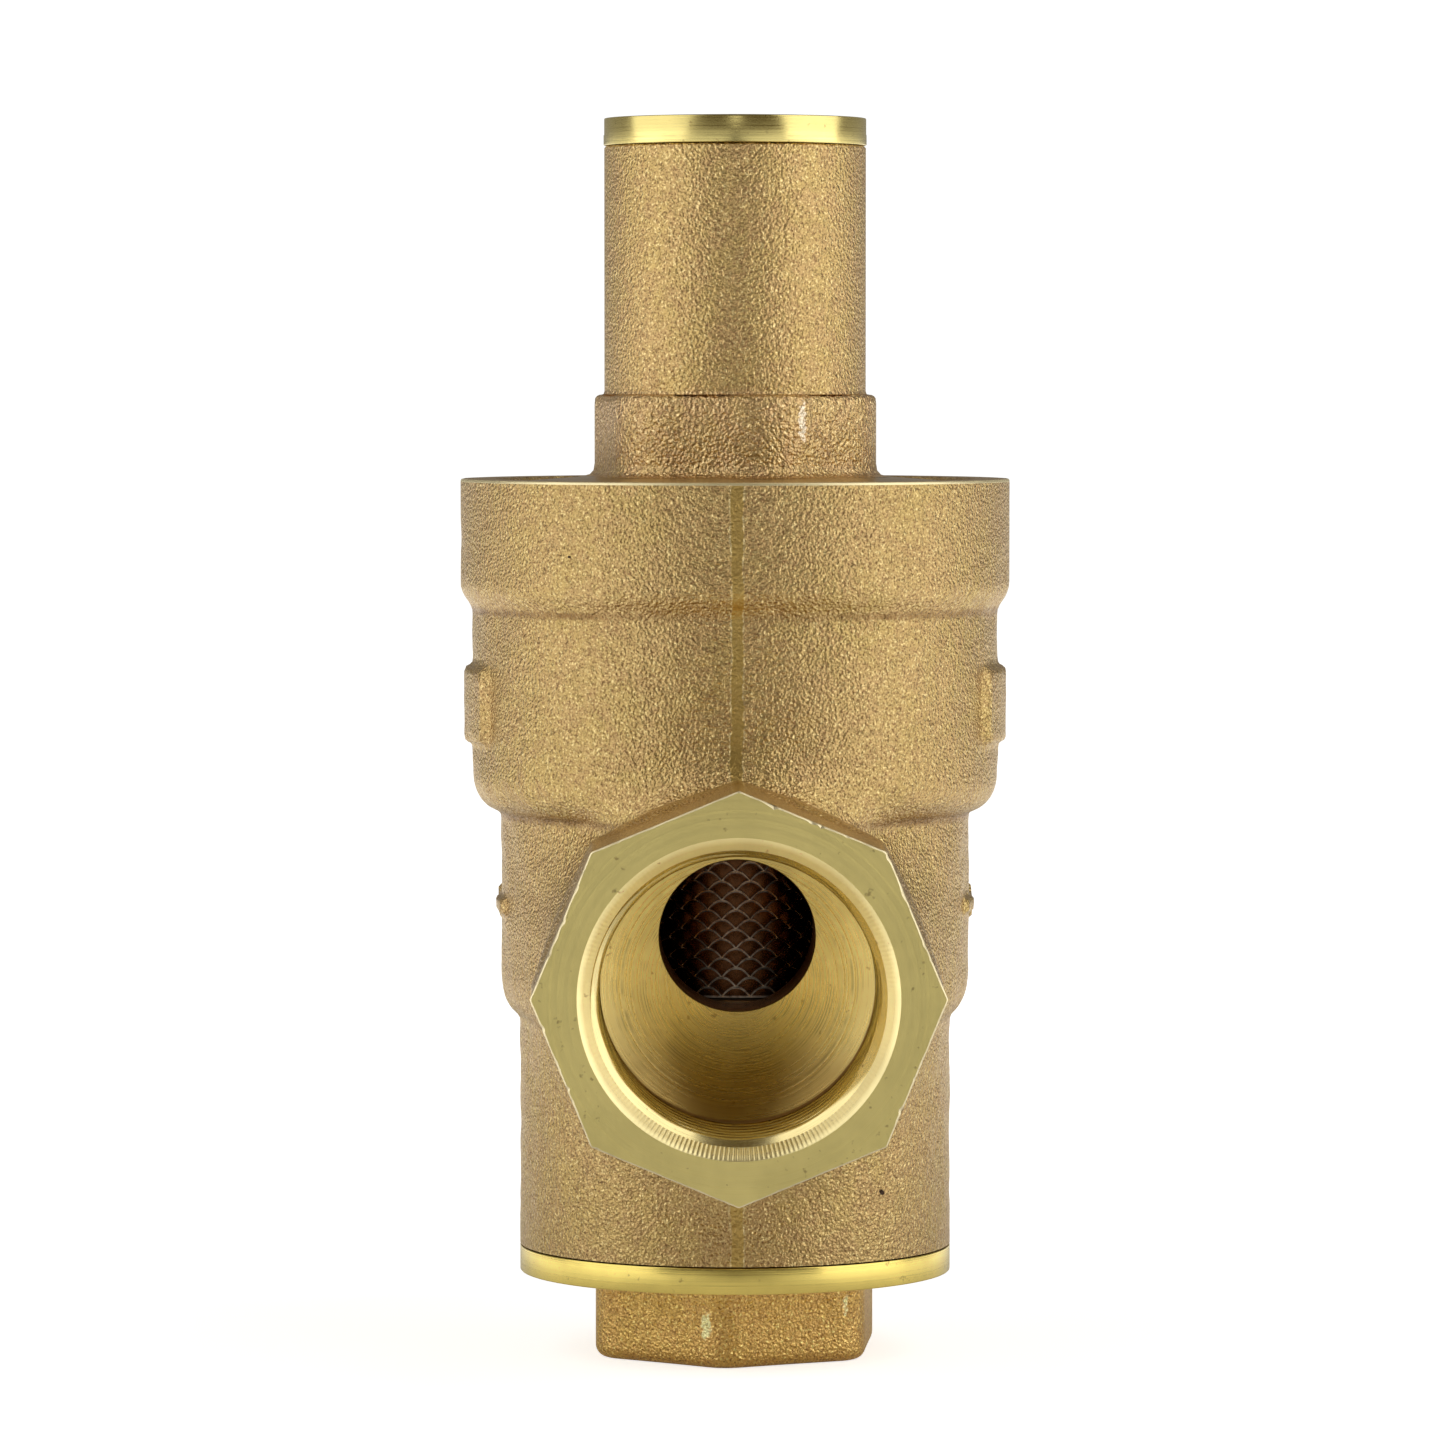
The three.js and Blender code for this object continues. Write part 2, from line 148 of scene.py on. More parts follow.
def angles(columns):
    """The angles of evenly spaced columns round a shape."""
    return np.arange(columns) * TAU / columns


def turned(name, profile, columns, closed=False, smooth=40):
    """A profile of (radius, height) points turned round the valve's axis.

    The profile runs anticlockwise, with the solid on its left.
    """
    profile = np.asarray(profile, float)
    angle = angles(columns)
    radius, height = profile[:, :1], profile[:, 1:]
    stack = plane_ring(radius, angle, height)
    faces = grid_faces(len(profile), columns, wrap_rows=closed)
    return new_object(name, stack.reshape(-1, 3), faces, smooth)


def ring_stack(name, rings, smooth=40):
    """A mesh through rings of points with the same number of columns."""
    return new_object(name, np.concatenate(rings), grid_faces(len(rings), len(rings[0])), smooth)


def plane_ring(radius, angle, z):
    """A ring round the valve's axis. radius may vary round it."""
    return xyz(radius * np.cos(angle), radius * np.sin(angle), z)


def front_ring(radius, angle, z):
    """A ring round the valve's axis whose angle 0 is on the inlet's side."""
    return xyz(radius * np.sin(angle), -radius * np.cos(angle), z)


def join(name, *objects):
    """One object that holds the meshes and materials of several."""
    with bpy.context.temp_override(
        active_object=objects[0], selected_objects=objects, selected_editable_objects=objects
    ):
        bpy.ops.object.join()
    objects[0].name = objects[0].data.name = name
    return objects[0]


def cut(made, *tools):
    """Cuts tools out of a closed mesh, and removes them."""
    for tool in tools:
        step = made.modifiers.new("cut", "BOOLEAN")
        step.object, step.operation, step.solver = tool, "DIFFERENCE", "EXACT"
        with bpy.context.temp_override(object=made, active_object=made):
            bpy.ops.object.modifier_apply(modifier=step.name)
        bpy.data.objects.remove(tool)
    made.data.set_sharp_from_angle(angle=math.radians(30))
    return made


def polygon_radius(angle, sides, across_flats, corner, first_corner):
    """Distance from the middle of a rounded regular polygon to its outline, at each angle."""
    half = math.pi / sides
    off = np.mod(angle - first_corner, 2 * half) - half  # 0 in the middle of a flat
    inner = across_flats / 2 - corner
    reach = inner / math.cos(half)
    flat = across_flats / 2 / np.cos(off)
    away = np.abs(off) - half
    arc = reach * np.cos(away) + np.sqrt(np.maximum(corner**2 - (reach * np.sin(away)) ** 2, 0))
    on_flat = across_flats / 2 * np.abs(np.tan(off)) <= inner * math.tan(half)
    return np.where(on_flat, flat, arc)


def finish_piece(made, body, slot, material, *nodes):
    """Gives a piece its material and body, and hides the CAD nodes it stands for."""
    if material is not None:
        made.data.materials.clear()
        made.data.materials.append(material)
    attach(made, body)
    if nodes:
        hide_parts(*nodes)
    return made


# ---- materials


def put_node(tree, kind, inputs=(), **settings):
    """A shader node with its settings, its values and the links into it."""
    node = tree.nodes.new("ShaderNode" + kind)
    for key, value in settings.items():
        setattr(node, key, value)
    for key, value in dict(inputs).items():
        if isinstance(value, bpy.types.NodeSocket):
            tree.links.new(value, node.inputs[key])
        else:
            node.inputs[key].default_value = value
    return node


class Nodes:
    """A material's node tree with short calls for the nodes used here."""

    def __init__(self, name):
        self.material = bpy.data.materials.new(name)
        self.material.use_nodes = True
        self.tree = self.material.node_tree
        self.shader = self.tree.nodes["Principled BSDF"]
        self.coordinates = self.put("TexCoord").outputs["Object"]

    def put(self, kind, inputs=(), **settings):
        return put_node(self.tree, kind, inputs, **settings)

    def link(self, source, socket):
        self.tree.links.new(source, self.shader.inputs[socket])

    def math(self, operation, a, b=0.0):
        return self.put("Math", {0: a, 1: b}, operation=operation).outputs[0]

    def add(self, a, b):
        return self.math("ADD", a, b)

    def times(self, a, b):
        return self.math("MULTIPLY", a, b)

    def size(self, a):
        return self.math("ABSOLUTE", a)

    def noise(self, size_mm, detail=2.0, roughness=0.5, vector=None):
        """Noise whose features are about size_mm across, from 0 to 1."""
        inputs = {"Vector": vector or self.coordinates, "Scale": 1 / (size_mm * MM)}
        inputs |= {"Detail": detail, "Roughness": roughness}
        return self.put("TexNoise", inputs).outputs["Fac"]

    def cells(self, size_mm):
        """Soft dimples about size_mm across."""
        inputs = {"Vector": self.coordinates, "Scale": 1 / (size_mm * MM)}
        return self.put("TexVoronoi", inputs, feature="SMOOTH_F1").outputs["Distance"]

    def ramp(self, value, low, high, to_low=0.0, to_high=1.0, smooth=False):
        made = self.put(
            "MapRange",
            {"Value": value, "From Min": low, "From Max": high, "To Min": to_low, "To Max": to_high},
            interpolation_type="SMOOTHSTEP" if smooth else "LINEAR",
        )
        return made.outputs["Result"]

    def soft(self, *values):
        return self.ramp(*values, smooth=True)

    def mix(self, factor, a, b):
        a, b = ((*c, 1) if isinstance(c, tuple) else c for c in (a, b))
        return self.put("Mix", {0: factor, 6: a, 7: b}, data_type="RGBA").outputs[2]

    def bump(self, height, distance_mm):
        inputs = {"Height": height, "Distance": distance_mm * MM, "Strength": 1.0}
        return self.put("Bump", inputs).outputs["Normal"]

    def shifted(self, millimetres):
        """The coordinates moved along, for a noise unlike one of the same size."""
        offset = (millimetres * MM, millimetres * MM, 0)
        return self.put("VectorMath", {0: self.coordinates, 1: offset}, operation="ADD").outputs[0]

    def axes(self):
        return tuple(self.put("SeparateXYZ", {0: self.coordinates}).outputs)

    def distance_from_axis(self, a, b, b_middle=0.0):
        """Distance from an axis, in millimetres, where a and b are the coordinates across it."""
        moved = self.math("SUBTRACT", b, b_middle * MM)
        squares = self.add(self.times(a, a), self.times(moved, moved))
        return self.times(self.math("SQRT", squares), 1 / MM)


# colours of the casting: its clouds, the hollows and peaks of its grain, painted shade in its creases
# and the parting line
BROWN, OLIVE, PINKISH = (0.60, 0.425, 0.20), (0.62, 0.465, 0.195), (0.65, 0.465, 0.23)
HOLLOW, SPARKLE, CREASE_SHADE = (0.31, 0.19, 0.095), (0.98, 0.82, 0.42), (0.27, 0.155, 0.07)
SEAM, SEAM_EDGE = (0.70, 0.50, 0.155), (0.98, 0.86, 0.50)
# heights of the painted shade in the creases under the cup and the middle drum, half its width, and how
# much shows in front
CREASES = ((53.35, 0.5, 0.55), (38.75, 0.55, 0.0))


def cast_brass(name="cast_brass", tint=(1, 1, 1), grain_mm=0.19, grain=1.0, parting=False, patches=()):
    """Cast and shot-blasted brass: sparkling dimples, olive and pinkish clouds, darker hollows.

    patches are small marks on the inlet side: x, z, half width and half height in millimetres, colour.
    parting adds the parting line down the middle and painted shade in the creases.
    """
    n = Nodes(name)
    n.shader.inputs["Metallic"].default_value = 1.0
    fine = n.noise(grain_mm, 1.0, 0.5)
    coarse = n.noise(grain_mm * 2.4, 1.0, 0.5)
    dimples = n.cells(grain_mm * 1.25)
    speckle = n.noise(grain_mm * 0.9, 1.0, 0.5, vector=n.shifted(7.0))
    clouds = n.noise(1.6, 3.0, 0.6)
    broad = n.noise(9.0, 3.0, 0.5, vector=n.shifted(3.0))

    def tinted(colour):
        return tuple(c * t for c, t in zip(colour, tint))

    height = n.add(n.times(fine, 0.60), n.times(coarse, 0.12))
    height = n.add(height, n.times(dimples, 0.45))
    colour = n.mix(n.soft(clouds, 0.36, 0.62), tinted(BROWN), tinted(OLIVE))
    colour = n.mix(n.soft(broad, 0.40, 0.66, 0.0, 0.5), colour, tinted(PINKISH))
    colour = n.mix(n.soft(speckle, 0.46, 0.28, 0.0, 0.85), colour, tinted(HOLLOW))
    colour = n.mix(n.soft(speckle, 0.57, 0.72, 0.0, 0.9), colour, tinted(SPARKLE))
    roughness = n.ramp(speckle, 0.3, 0.7, 0.44, 0.28)
    x, y, z = n.axes()
    ragged = n.noise(0.45, 2.0, 0.6)
    for at_x, at_z, half_x, half_z, mark in patches:
        across = n.times(n.math("SUBTRACT", x, at_x * MM), 1 / (half_x * MM))
        along = n.times(n.math("SUBTRACT", z, at_z * MM), 1 / (half_z * MM))
        away = n.add(n.times(across, across), n.times(along, along))
        away = n.add(away, n.ramp(ragged, 0.3, 0.7, 0.8, -0.5))
        near = n.times(n.ramp(away, 1.0, 0.5), n.math("LESS_THAN", y, 0.0))
        colour = n.mix(near, colour, tinted(mark))
    if parting:
        beside = n.ramp(n.size(x), 6.0 * MM, 10.0 * MM)
        # painted shade in the creases under the cup and the middle drum, less of it in front
        for at, half, least in CREASES:
            off = n.size(n.math("SUBTRACT", n.times(z, 1 / MM), at))
            crease_shade = n.soft(off, half, 0.05, 0.0, 0.8)
            crease_shade = n.times(crease_shade, n.ramp(clouds, 0.3, 0.6, 0.35, 1.0))
            colour = n.mix(n.times(crease_shade, n.ramp(beside, 0, 1, least, 1.0)), colour, tinted(CREASE_SHADE))
        wobble = n.ramp(n.noise(2.0, 3.0, 0.6), 0.3, 0.7, -0.14, 0.14)
        off = n.size(n.add(n.times(x, 1 / MM), wobble))
        stripe = n.soft(off, 0.46, 0.34, 0.0, 1.0)
        edge = n.times(n.soft(off, 0.34, 0.42), n.soft(off, 0.54, 0.45))
        edge = n.times(edge, n.ramp(n.noise(0.5, 2.0, 0.6), 0.42, 0.62))
        colour = n.mix(n.times(stripe, 0.75), colour, tinted(SEAM))
        colour = n.mix(n.times(edge, 0.75), colour, tinted(SEAM_EDGE))
        height = n.mix(n.times(stripe, 0.6), height, (0.62, 0.62, 0.62))
    n.link(colour, "Base Color")
    n.link(roughness, "Roughness")
    n.link(n.bump(height, 0.20 * grain), "Normal")
    return n.material


def turned_brass(
    name,
    colour=(0.90, 0.75, 0.28),
    rings_mm=0.11,
    roughness=0.20,
    marks=0.3,
    glow=0.0,
    deep=False,
    port=False,
):
    """Bright machined brass with fine tool rings, round a port's axis or the spindle's.

    glow stands for the light that the walls of a bore send back into it, most at its top and sides.
    deep darkens the lower side with painted shade, as it sees only the bore's shadowed roof.
    """
    n = Nodes(name)
    n.shader.inputs["Metallic"].default_value = 1.0
    x, y, z = n.axes()
    middle = PORT_Z if port else 0.0
    radius = n.distance_from_axis(x, z, middle) if port else n.distance_from_axis(x, y)
    length = n.times(y if port else z, 1 / MM)
    sweep = n.put("CombineXYZ", {0: radius, 1: length, 2: 0.0}).outputs[0]
    fine = n.noise(rings_mm / MM, 2.0, 0.6, vector=sweep)  # sweep is in millimetres already
    wide = n.noise(rings_mm / 0.22 / MM, 1.0, 0.5, vector=sweep)
    smear = n.noise(5.0, 3.0, 0.55)
    patchy = n.soft(n.noise(1.8, 2.0, 0.5), 0.35, 0.65)
    spots = n.noise(0.6, 2.0, 0.5)

    def shade(factor):
        return tuple(c * factor for c in colour)

    base = n.mix(n.soft(smear, 0.35, 0.70, 0.0, 0.8), colour, shade(0.84))
    line = n.times(n.ramp(fine, 0.50, 0.66, 0.0, marks), patchy)
    base = n.mix(line, base, shade(0.35))
    base = n.mix(n.ramp(spots, 0.68, 0.76, 0.0, 0.6), base, (0.30, 0.19, 0.07))
    rough = n.ramp(fine, 0.3, 0.7, roughness * 0.7, roughness * 1.3)
    n.link(n.add(rough, n.ramp(smear, 0.3, 0.7, 0.0, 0.06)), "Roughness")
    # painted shade on the lower side of a deep bore
    if deep:
        low = n.soft(z, (middle - 8.5) * MM, (middle - 2.0) * MM, 0.75, 0.0)
        base = n.mix(low, base, tuple(c * f for c, f in zip(colour, (0.42, 0.30, 0.16))))
    n.link(base, "Base Color")
    # painted light: a glow for the light that the bore's walls send back
    if glow:
        upper = n.soft(z, (middle - 7.0) * MM, (middle + 1.5) * MM, 0.0, glow)
        n.link(n.mix(0.5, base, (1.0, 0.70, 0.14)), "Emission Color")
        n.link(n.times(upper, n.ramp(fine, 0.3, 0.7, 0.7, 1.3)), "Emission Strength")
    height = n.add(n.times(fine, 0.5), n.times(wide, 0.5))
    n.link(n.bump(height, 0.004 + 0.01 * marks), "Normal")
    return n.material


def plain_metal(name, colour, roughness, grain_mm=0.4, glow=0.0):
    """Smooth metal. glow stands for the light that the port throws on the strainer's middle."""
    n = Nodes(name)
    n.shader.inputs["Metallic"].default_value = 1.0
    smear = n.noise(3.0, 3.0, 0.5)
    grain = n.noise(grain_mm, 2.0, 0.6)
    dark = tuple(c * 0.72 for c in colour)
    n.link(n.mix(n.ramp(smear, 0.3, 0.7), colour, dark), "Base Color")
    n.link(n.ramp(grain, 0.3, 0.7, roughness * 0.8, roughness * 1.3), "Roughness")
    if glow:
        n.shader.inputs["Emission Color"].default_value = (*colour, 1)
        middle = n.ramp(n.size(n.axes()[0]), 0.1 * MM, 2.9 * MM, glow, 0.0)
        n.link(n.times(middle, n.ramp(grain, 0.35, 0.65, 0.3, 1.3)), "Emission Strength")
    n.link(n.bump(grain, 0.01), "Normal")
    return n.material


def plain_surface(name, colour, roughness, depth_mm=0.02):
    """Rubber, fibre or plastic."""
    n = Nodes(name)
    smear = n.noise(4.0, 3.0, 0.5)
    grain = n.noise(0.3, 3.0, 0.6)
    dark = tuple(c * 0.7 for c in colour)
    n.link(n.mix(n.ramp(smear, 0.3, 0.7), colour, dark), "Base Color")
    n.link(n.ramp(grain, 0.3, 0.7, roughness * 0.85, min(roughness * 1.15, 1.0)), "Roughness")
    n.link(n.bump(grain, depth_mm), "Normal")
    return n.material


# the pale marks are scuffs of bare metal; the near-black ones are painted shade inside casting pits
PALE, PIT_SHADE = (1.0, 0.90, 0.66), (0.05, 0.03, 0.02)
BODY_PITS = (10.25, 12.7, 0.28, 0.24, PIT_SHADE), (-11.6, 57.5, 0.16, 0.13, PIT_SHADE)
NECK_SCUFF = [(4.66, 66.8, 0.32, 1.5, PALE)]
PLUG_SCUFFS = (-2.1, 3.0, 0.42, 1.2, PALE), (7.8, 4.1, 0.3, 0.8, PALE)
CAST = cast_brass(tint=(0.88, 0.83, 0.74), parting=True, patches=BODY_PITS)
CAST_BONNET = cast_brass("cast_brass_bonnet", (0.96, 0.90, 0.82))
CAST_NECK = cast_brass("cast_brass_neck", (1.02, 0.95, 0.95), 0.21, 1.25, patches=NECK_SCUFF)
CAST_PLUG = cast_brass("cast_brass_plug", (1.20, 1.06, 0.75), patches=PLUG_SCUFFS)
TURNED_RING = turned_brass("turned_brass_ring")
TURNED_FLANGE = turned_brass("turned_plug_flange", (0.92, 0.73, 0.20))
# darker turned brass for the bonnet flange sunk in the cup: painted shade
SHADED_FLANGE_TOP = turned_brass("bonnet_flange_painted_shade", (0.52, 0.37, 0.16), 0.2, 0.3)
# bright worn metal on the cup's rim edge, which also stands for a painted highlight
WORN_HIGHLIT_RIM = turned_brass("worn_highlit_rim", (0.98, 0.86, 0.52), 0.3, 0.4)
TURNED_INSIDE = turned_brass("turned_brass_inside", (0.62, 0.44, 0.18), roughness=0.35)
THREADED = turned_brass("threaded_brass", (1.0, 0.84, 0.40), 0.11, 0.18, 0.25, port=True)
MILLED_FACE = turned_brass("milled_face", (1.0, 0.85, 0.33), 0.07, 0.42, 0.15, port=True)
# the chamfer and the drilled cone glow with painted light, and the cone's lower side is darkened with
# painted shade
CHAMFERED = turned_brass("chamfered_brass", (1.0, 0.86, 0.44), 0.11, 0.30, 0.2, glow=0.17, port=True)
# darker, redder turned brass for the thread relief and the passages: painted shade in these recesses
RECESS_SHADED_BRASS = turned_brass("recess_brass_painted_shade", (0.52, 0.28, 0.08), roughness=0.3, port=True)
DRILLED = turned_brass(
    "drilled_brass", (1.0, 0.83, 0.36), 0.15, 0.26, 0.8, glow=0.21, deep=True, port=True
)
# bright worn metal on the ports' outer edges, which also stands for a painted highlight
WORN_HIGHLIT_EDGE = turned_brass("worn_highlit_edge", (0.96, 0.84, 0.54), 0.2, 0.45, port=True)
STAINLESS = plain_metal("stainless_steel", (0.56, 0.56, 0.55), 0.28)
SPRING_STEEL = plain_metal("spring_steel", (0.30, 0.30, 0.31), 0.35)
# the strands glow down their middle: painted light from the port
AMBER_STEEL = plain_metal("amber_steel", (0.93, 0.78, 0.60), 0.15, glow=0.075)
COLLAR_STEEL = plain_metal("collar_steel", (0.30, 0.20, 0.12), 0.35)
# a near-black sheet for the shade inside the strainer, with a painted glow down its middle
STRAINER_SHADE_SHEET = plain_metal("strainer_shade_sheet_painted", (0.12, 0.05, 0.02), 0.28, grain_mm=0.12, glow=0.06)
RUBBER = plain_surface("black_rubber", (0.02, 0.02, 0.02), 0.55)
FIBRE = plain_surface("grey_fibre", (0.06, 0.052, 0.045), 0.85)
PLASTIC = plain_surface("white_plastic", (0.75, 0.73, 0.66), 0.4, depth_mm=0.01)


# ---- the cast body's outside


def smooth_min(a, b, width):
    """The lower of two distances, rounded where they are within width of each other."""
    h = np.maximum(width - np.abs(a - b), 0) / width
    return np.minimum(a, b) - h * h * width / 4


def smooth_max(a, b, width):
    return -smooth_min(-a, -b, width)


def drum(radius_at, z, radius, low, across, down):
    """Distance to a drum above low whose lower edge is a quarter ellipse, across wide and down tall."""
    u, v = (radius_at - (radius - across)) / across, (low + down - z) / down
    rho = np.sqrt(u * u + v * v) + 1e-9
    slope = np.sqrt((u / across) ** 2 + (v / down) ** 2) / rho + 1e-9
    curved = (rho - 1) / slope
    return np.where(v <= 0, radius_at - radius, np.where(u <= 0, low - z, curved))


def octagon_distance(x, z):
    """Distance to a port's octagon, across and up from its axis."""
    half = math.pi / 8
    off = np.mod(np.arctan2(x, z), 2 * half) - half  # 0 in the middle of a flat
    rho = np.hypot(x, z)
    u, v = rho * np.cos(off), np.abs(rho * np.sin(off))
    inner = OCTAGON / 2 - OCTAGON_CORNER
    side = inner * math.tan(half)
    corner = np.hypot(u - inner, v - side) - OCTAGON_CORNER
    return np.where(v > side, corner, u - OCTAGON / 2)


# raised marks on both sides: half length, half height and height of the pad, and the arrow's middle
PAD_HALF, PAD_TALL, PAD_Z, PAD_CORNER, PAD_PROUD = 6.2, 1.85, 46.65, 0.8, 0.58
ARROW_Z, ARROW_TIP, ARROW_PROUD = 32.3, 4.4, 0.40


def casting_distance(x, y, z):
    """Distance from the cast outside of the body, about zero on its surface."""
    r = np.hypot(x, y)
    foot = r - (FOOT_RADIUS + 0.05 - 0.004 * (z - BODY_Z))
    waist = drum(r, z, WAIST_RADIUS, 24.5, 1.35, 2.9)
    middle = drum(r, z, MIDDLE_RADIUS, 39.0, 2.05, 2.6)
    under_cup = (53.5 - z) * 0.563 + (r - MIDDLE_RADIUS) * 0.826
    cup = smooth_max(smooth_max(r - CUP_RADIUS, under_cup, 0.45), 53.3 - z, 0.3)
    shape = smooth_min(smooth_min(foot, waist, 0.6), smooth_min(middle, cup, 0.3), 0.6)

    across = np.hypot(x, z - PORT_Z)
    neck = smooth_max(across - NECK_RADIUS, np.abs(y) - 23.6, 0.6)
    shape = smooth_min(shape, neck, 4.5)
    back = FACE - PRISM - np.abs(y)
    prism = smooth_max(octagon_distance(x, z - PORT_Z), back, 1.1)
    shape = smooth_min(shape, prism, 2.6)

    # a plain pad on the middle drum and a flow arrow on the waist, on both sides
    long, tall = np.abs(y) - PAD_HALF, np.abs(z - PAD_Z) - PAD_TALL
    pad = np.hypot(np.maximum(long, 0), np.maximum(tall, 0)) - PAD_CORNER
    pad = smooth_max(pad, np.abs(r - MIDDLE_RADIUS) - PAD_PROUD, 0.35)
    shape = smooth_min(shape, np.where(np.abs(x) > 10, pad, 9.0), 0.5)
    tip, rise = ARROW_TIP - y, np.abs(z - ARROW_Z)
    head = smooth_max(np.maximum(rise - 0.45 * tip, -tip), tip - 2.9, 0.2)
    shaft = np.maximum(rise - 0.5, np.abs(y) - 4.0)
    arrow = smooth_max(np.minimum(head, shaft), np.abs(r - WAIST_RADIUS) - ARROW_PROUD, 0.25)
    return smooth_min(shape, np.where(np.abs(x) > 10, arrow, 9.0), 0.35)


def waves(points, size, seed, count=14):
    """A smooth seeded noise of plane waves about size long, from about -1 to 1."""
    draw = np.random.default_rng(seed)
    total = np.zeros(len(points))
    for _ in range(count):
        direction = draw.normal(size=3)
        direction *= TAU / (size * draw.uniform(0.7, 1.6) * np.linalg.norm(direction))
        total += np.sin(points @ direction + draw.uniform(0, TAU))
    return total / math.sqrt(count)


PRISM_CUT = FACE - 6.0  # the cast mesh ends here and the machined end goes on
RIM_CUT = RIM_Z - 1.2


def slope(p):
    """The outward direction of the casting's surface near each point."""
    e = 0.02
    columns = []
    for k in range(3):
        shift = np.zeros(3)
        shift[k] = e
        columns.append(casting_distance(*(p + shift).T) - casting_distance(*(p - shift).T))
    g = np.array(columns).T / (2 * e)
    return g / (np.linalg.norm(g, axis=1, keepdims=True) + 1e-9)


def casting_mesh():
    """The cast skin, taken from its distance function, with its open edges on the cutting planes."""
    step = 0.34
    low = np.array([-CUP_RADIUS - 1.5, -PRISM_CUT - 1, BODY_Z - 0.6])
    high = np.array([CUP_RADIUS + 1.5, PRISM_CUT + 1, RIM_CUT + 0.9])
    axes = [np.arange(a, b, step) for a, b in zip(low, high)]
    field = casting_distance(*np.meshgrid(*axes, indexing="ij")).astype(np.float32)
    grid = openvdb.FloatGrid(9.0)
    grid.copyFromArray(field)
    points, quads = grid.convertToQuads(isovalue=0.0)[:2]
    points = points.astype(float) * step + low
    skin = (np.abs(points[:, 1]) < PRISM_CUT + step) & (points[:, 2] > BODY_Z - step)
    skin &= points[:, 2] < RIM_CUT + step
    quads = quads[skin[quads].all(axis=1)]
    for _ in range(3):
        points -= slope(points) * casting_distance(*points.T)[:, None]

    reach = [(2, BODY_Z, 1), (2, RIM_CUT, -1), (1, -PRISM_CUT, 1), (1, PRISM_CUT, -1)]
    inside = np.ones(len(points), bool)
    near = np.full(len(points), 9.0)
    for axis, place, side in reach:
        depth = (points[:, axis] - place) * side
        inside &= depth > step * 0.15
        near = np.minimum(near, depth)
    quads = quads[inside[quads].all(axis=1)]

    # vertices on an open edge move onto the plane that cut it
    edges = np.sort(np.concatenate([quads[:, [i, (i + 1) % 4]] for i in range(4)]), axis=1)
    pairs, used = np.unique(edges, axis=0, return_counts=True)
    rim = np.unique(pairs[used == 1])
    for axis, place, side in reach:
        there = rim[np.abs(points[rim, axis] - place) < step * 2.2]
        points[there, axis] = place

    fade = np.clip(near / 2.5, 0, 1)
    relief = 0.035 * waves(points, 5.0, 3) + 0.018 * waves(points, 2.2, 4) + 0.01 * waves(points, 1.1, 5)
    points += slope(points) * (relief * fade)[:, None]
    shrink = np.minimum(1, CUP_RADIUS / np.maximum(np.hypot(points[:, 0], points[:, 1]), 1))
    at_ports = np.abs(points[:, 2] - PORT_Z) <= NECK_RADIUS + 2
    points[:, :2] *= np.where(at_ports, 1, shrink)[:, None]  # the relief stays inside the cup's radius
    a, b, c = (points[quads[:, i]] for i in (0, 1, 2))
    facing = (np.cross(b - a, c - a) * slope((a + c) / 2)).sum(axis=1)
    if np.median(facing) < 0:
        quads = quads[:, ::-1]
    kept, renumbered = np.unique(quads, return_inverse=True)
    return new_object("body_casting", points[kept], renumbered.reshape(quads.shape).tolist(), smooth=75)


def cup_rim():
    """The cup's turned rim and the bore that holds the bonnet."""
    top = [(CUP_RADIUS - 0.2, RIM_Z), (17.25, RIM_Z), (17.0, RIM_Z - 0.3), (17.0, 53.6)]
    return join(
        "cup_rim",
        turned("cup_rim_outside", [(CUP_RADIUS, RIM_CUT), (CUP_RADIUS, RIM_Z - 0.2)], 256),
        turned("cup_rim_top", rounded(top, [0, 0.06, 0.05, 0], 3), 256),
    )


def cup_edge():
    """The thin bright line where the rim's outer edge has been knocked about: worn metal, with a painted
    highlight in its colour.
    """
    angle = angles(768)
    around = np.stack([CUP_RADIUS * np.cos(angle), CUP_RADIUS * np.sin(angle), angle], axis=-1)
    ragged = np.clip(waves(around, 2.5, 9), -1, 1)
    rings = [
        plane_ring(CUP_RADIUS, angle, RIM_Z - 0.2),
        plane_ring(CUP_RADIUS, angle, RIM_Z - 0.11 - 0.05 * ragged),
        plane_ring(CUP_RADIUS - 0.05, angle, RIM_Z - 0.03),
        plane_ring(CUP_RADIUS - 0.12 - 0.05 * ragged, angle, RIM_Z),
        plane_ring(CUP_RADIUS - 0.2, angle, RIM_Z),
    ]
    return ring_stack("cup_worn_highlit_edge", rings, smooth=80)


def body_bores():
    """The piston's and the seat's bores above the strainer's chamber, and the plug's bore under it."""
    upper = [(17.0, 53.6), (15.3, 53.6), (15.3, 41.5), (6.5, 41.5), (6.5, 38.0), (CHAMBER_RADIUS, 38.0)]
    upper += [(CHAMBER_RADIUS, CHAMBER_BAND[1])]
    lower = [(CHAMBER_RADIUS, CHAMBER_BAND[0]), (CHAMBER_RADIUS, 15.2), (13.2, 15.2)]
    lower += [(13.2, BODY_Z + 0.4), (13.6, BODY_Z), (FOOT_RADIUS + 0.05, BODY_Z)]
    return join(
        "body_bores",
        turned("upper_bores", rounded(upper, 0.05, 2), 128),
        turned("lower_bores", rounded(lower, 0.05, 2), 128),
        chamber_wall(),
    )


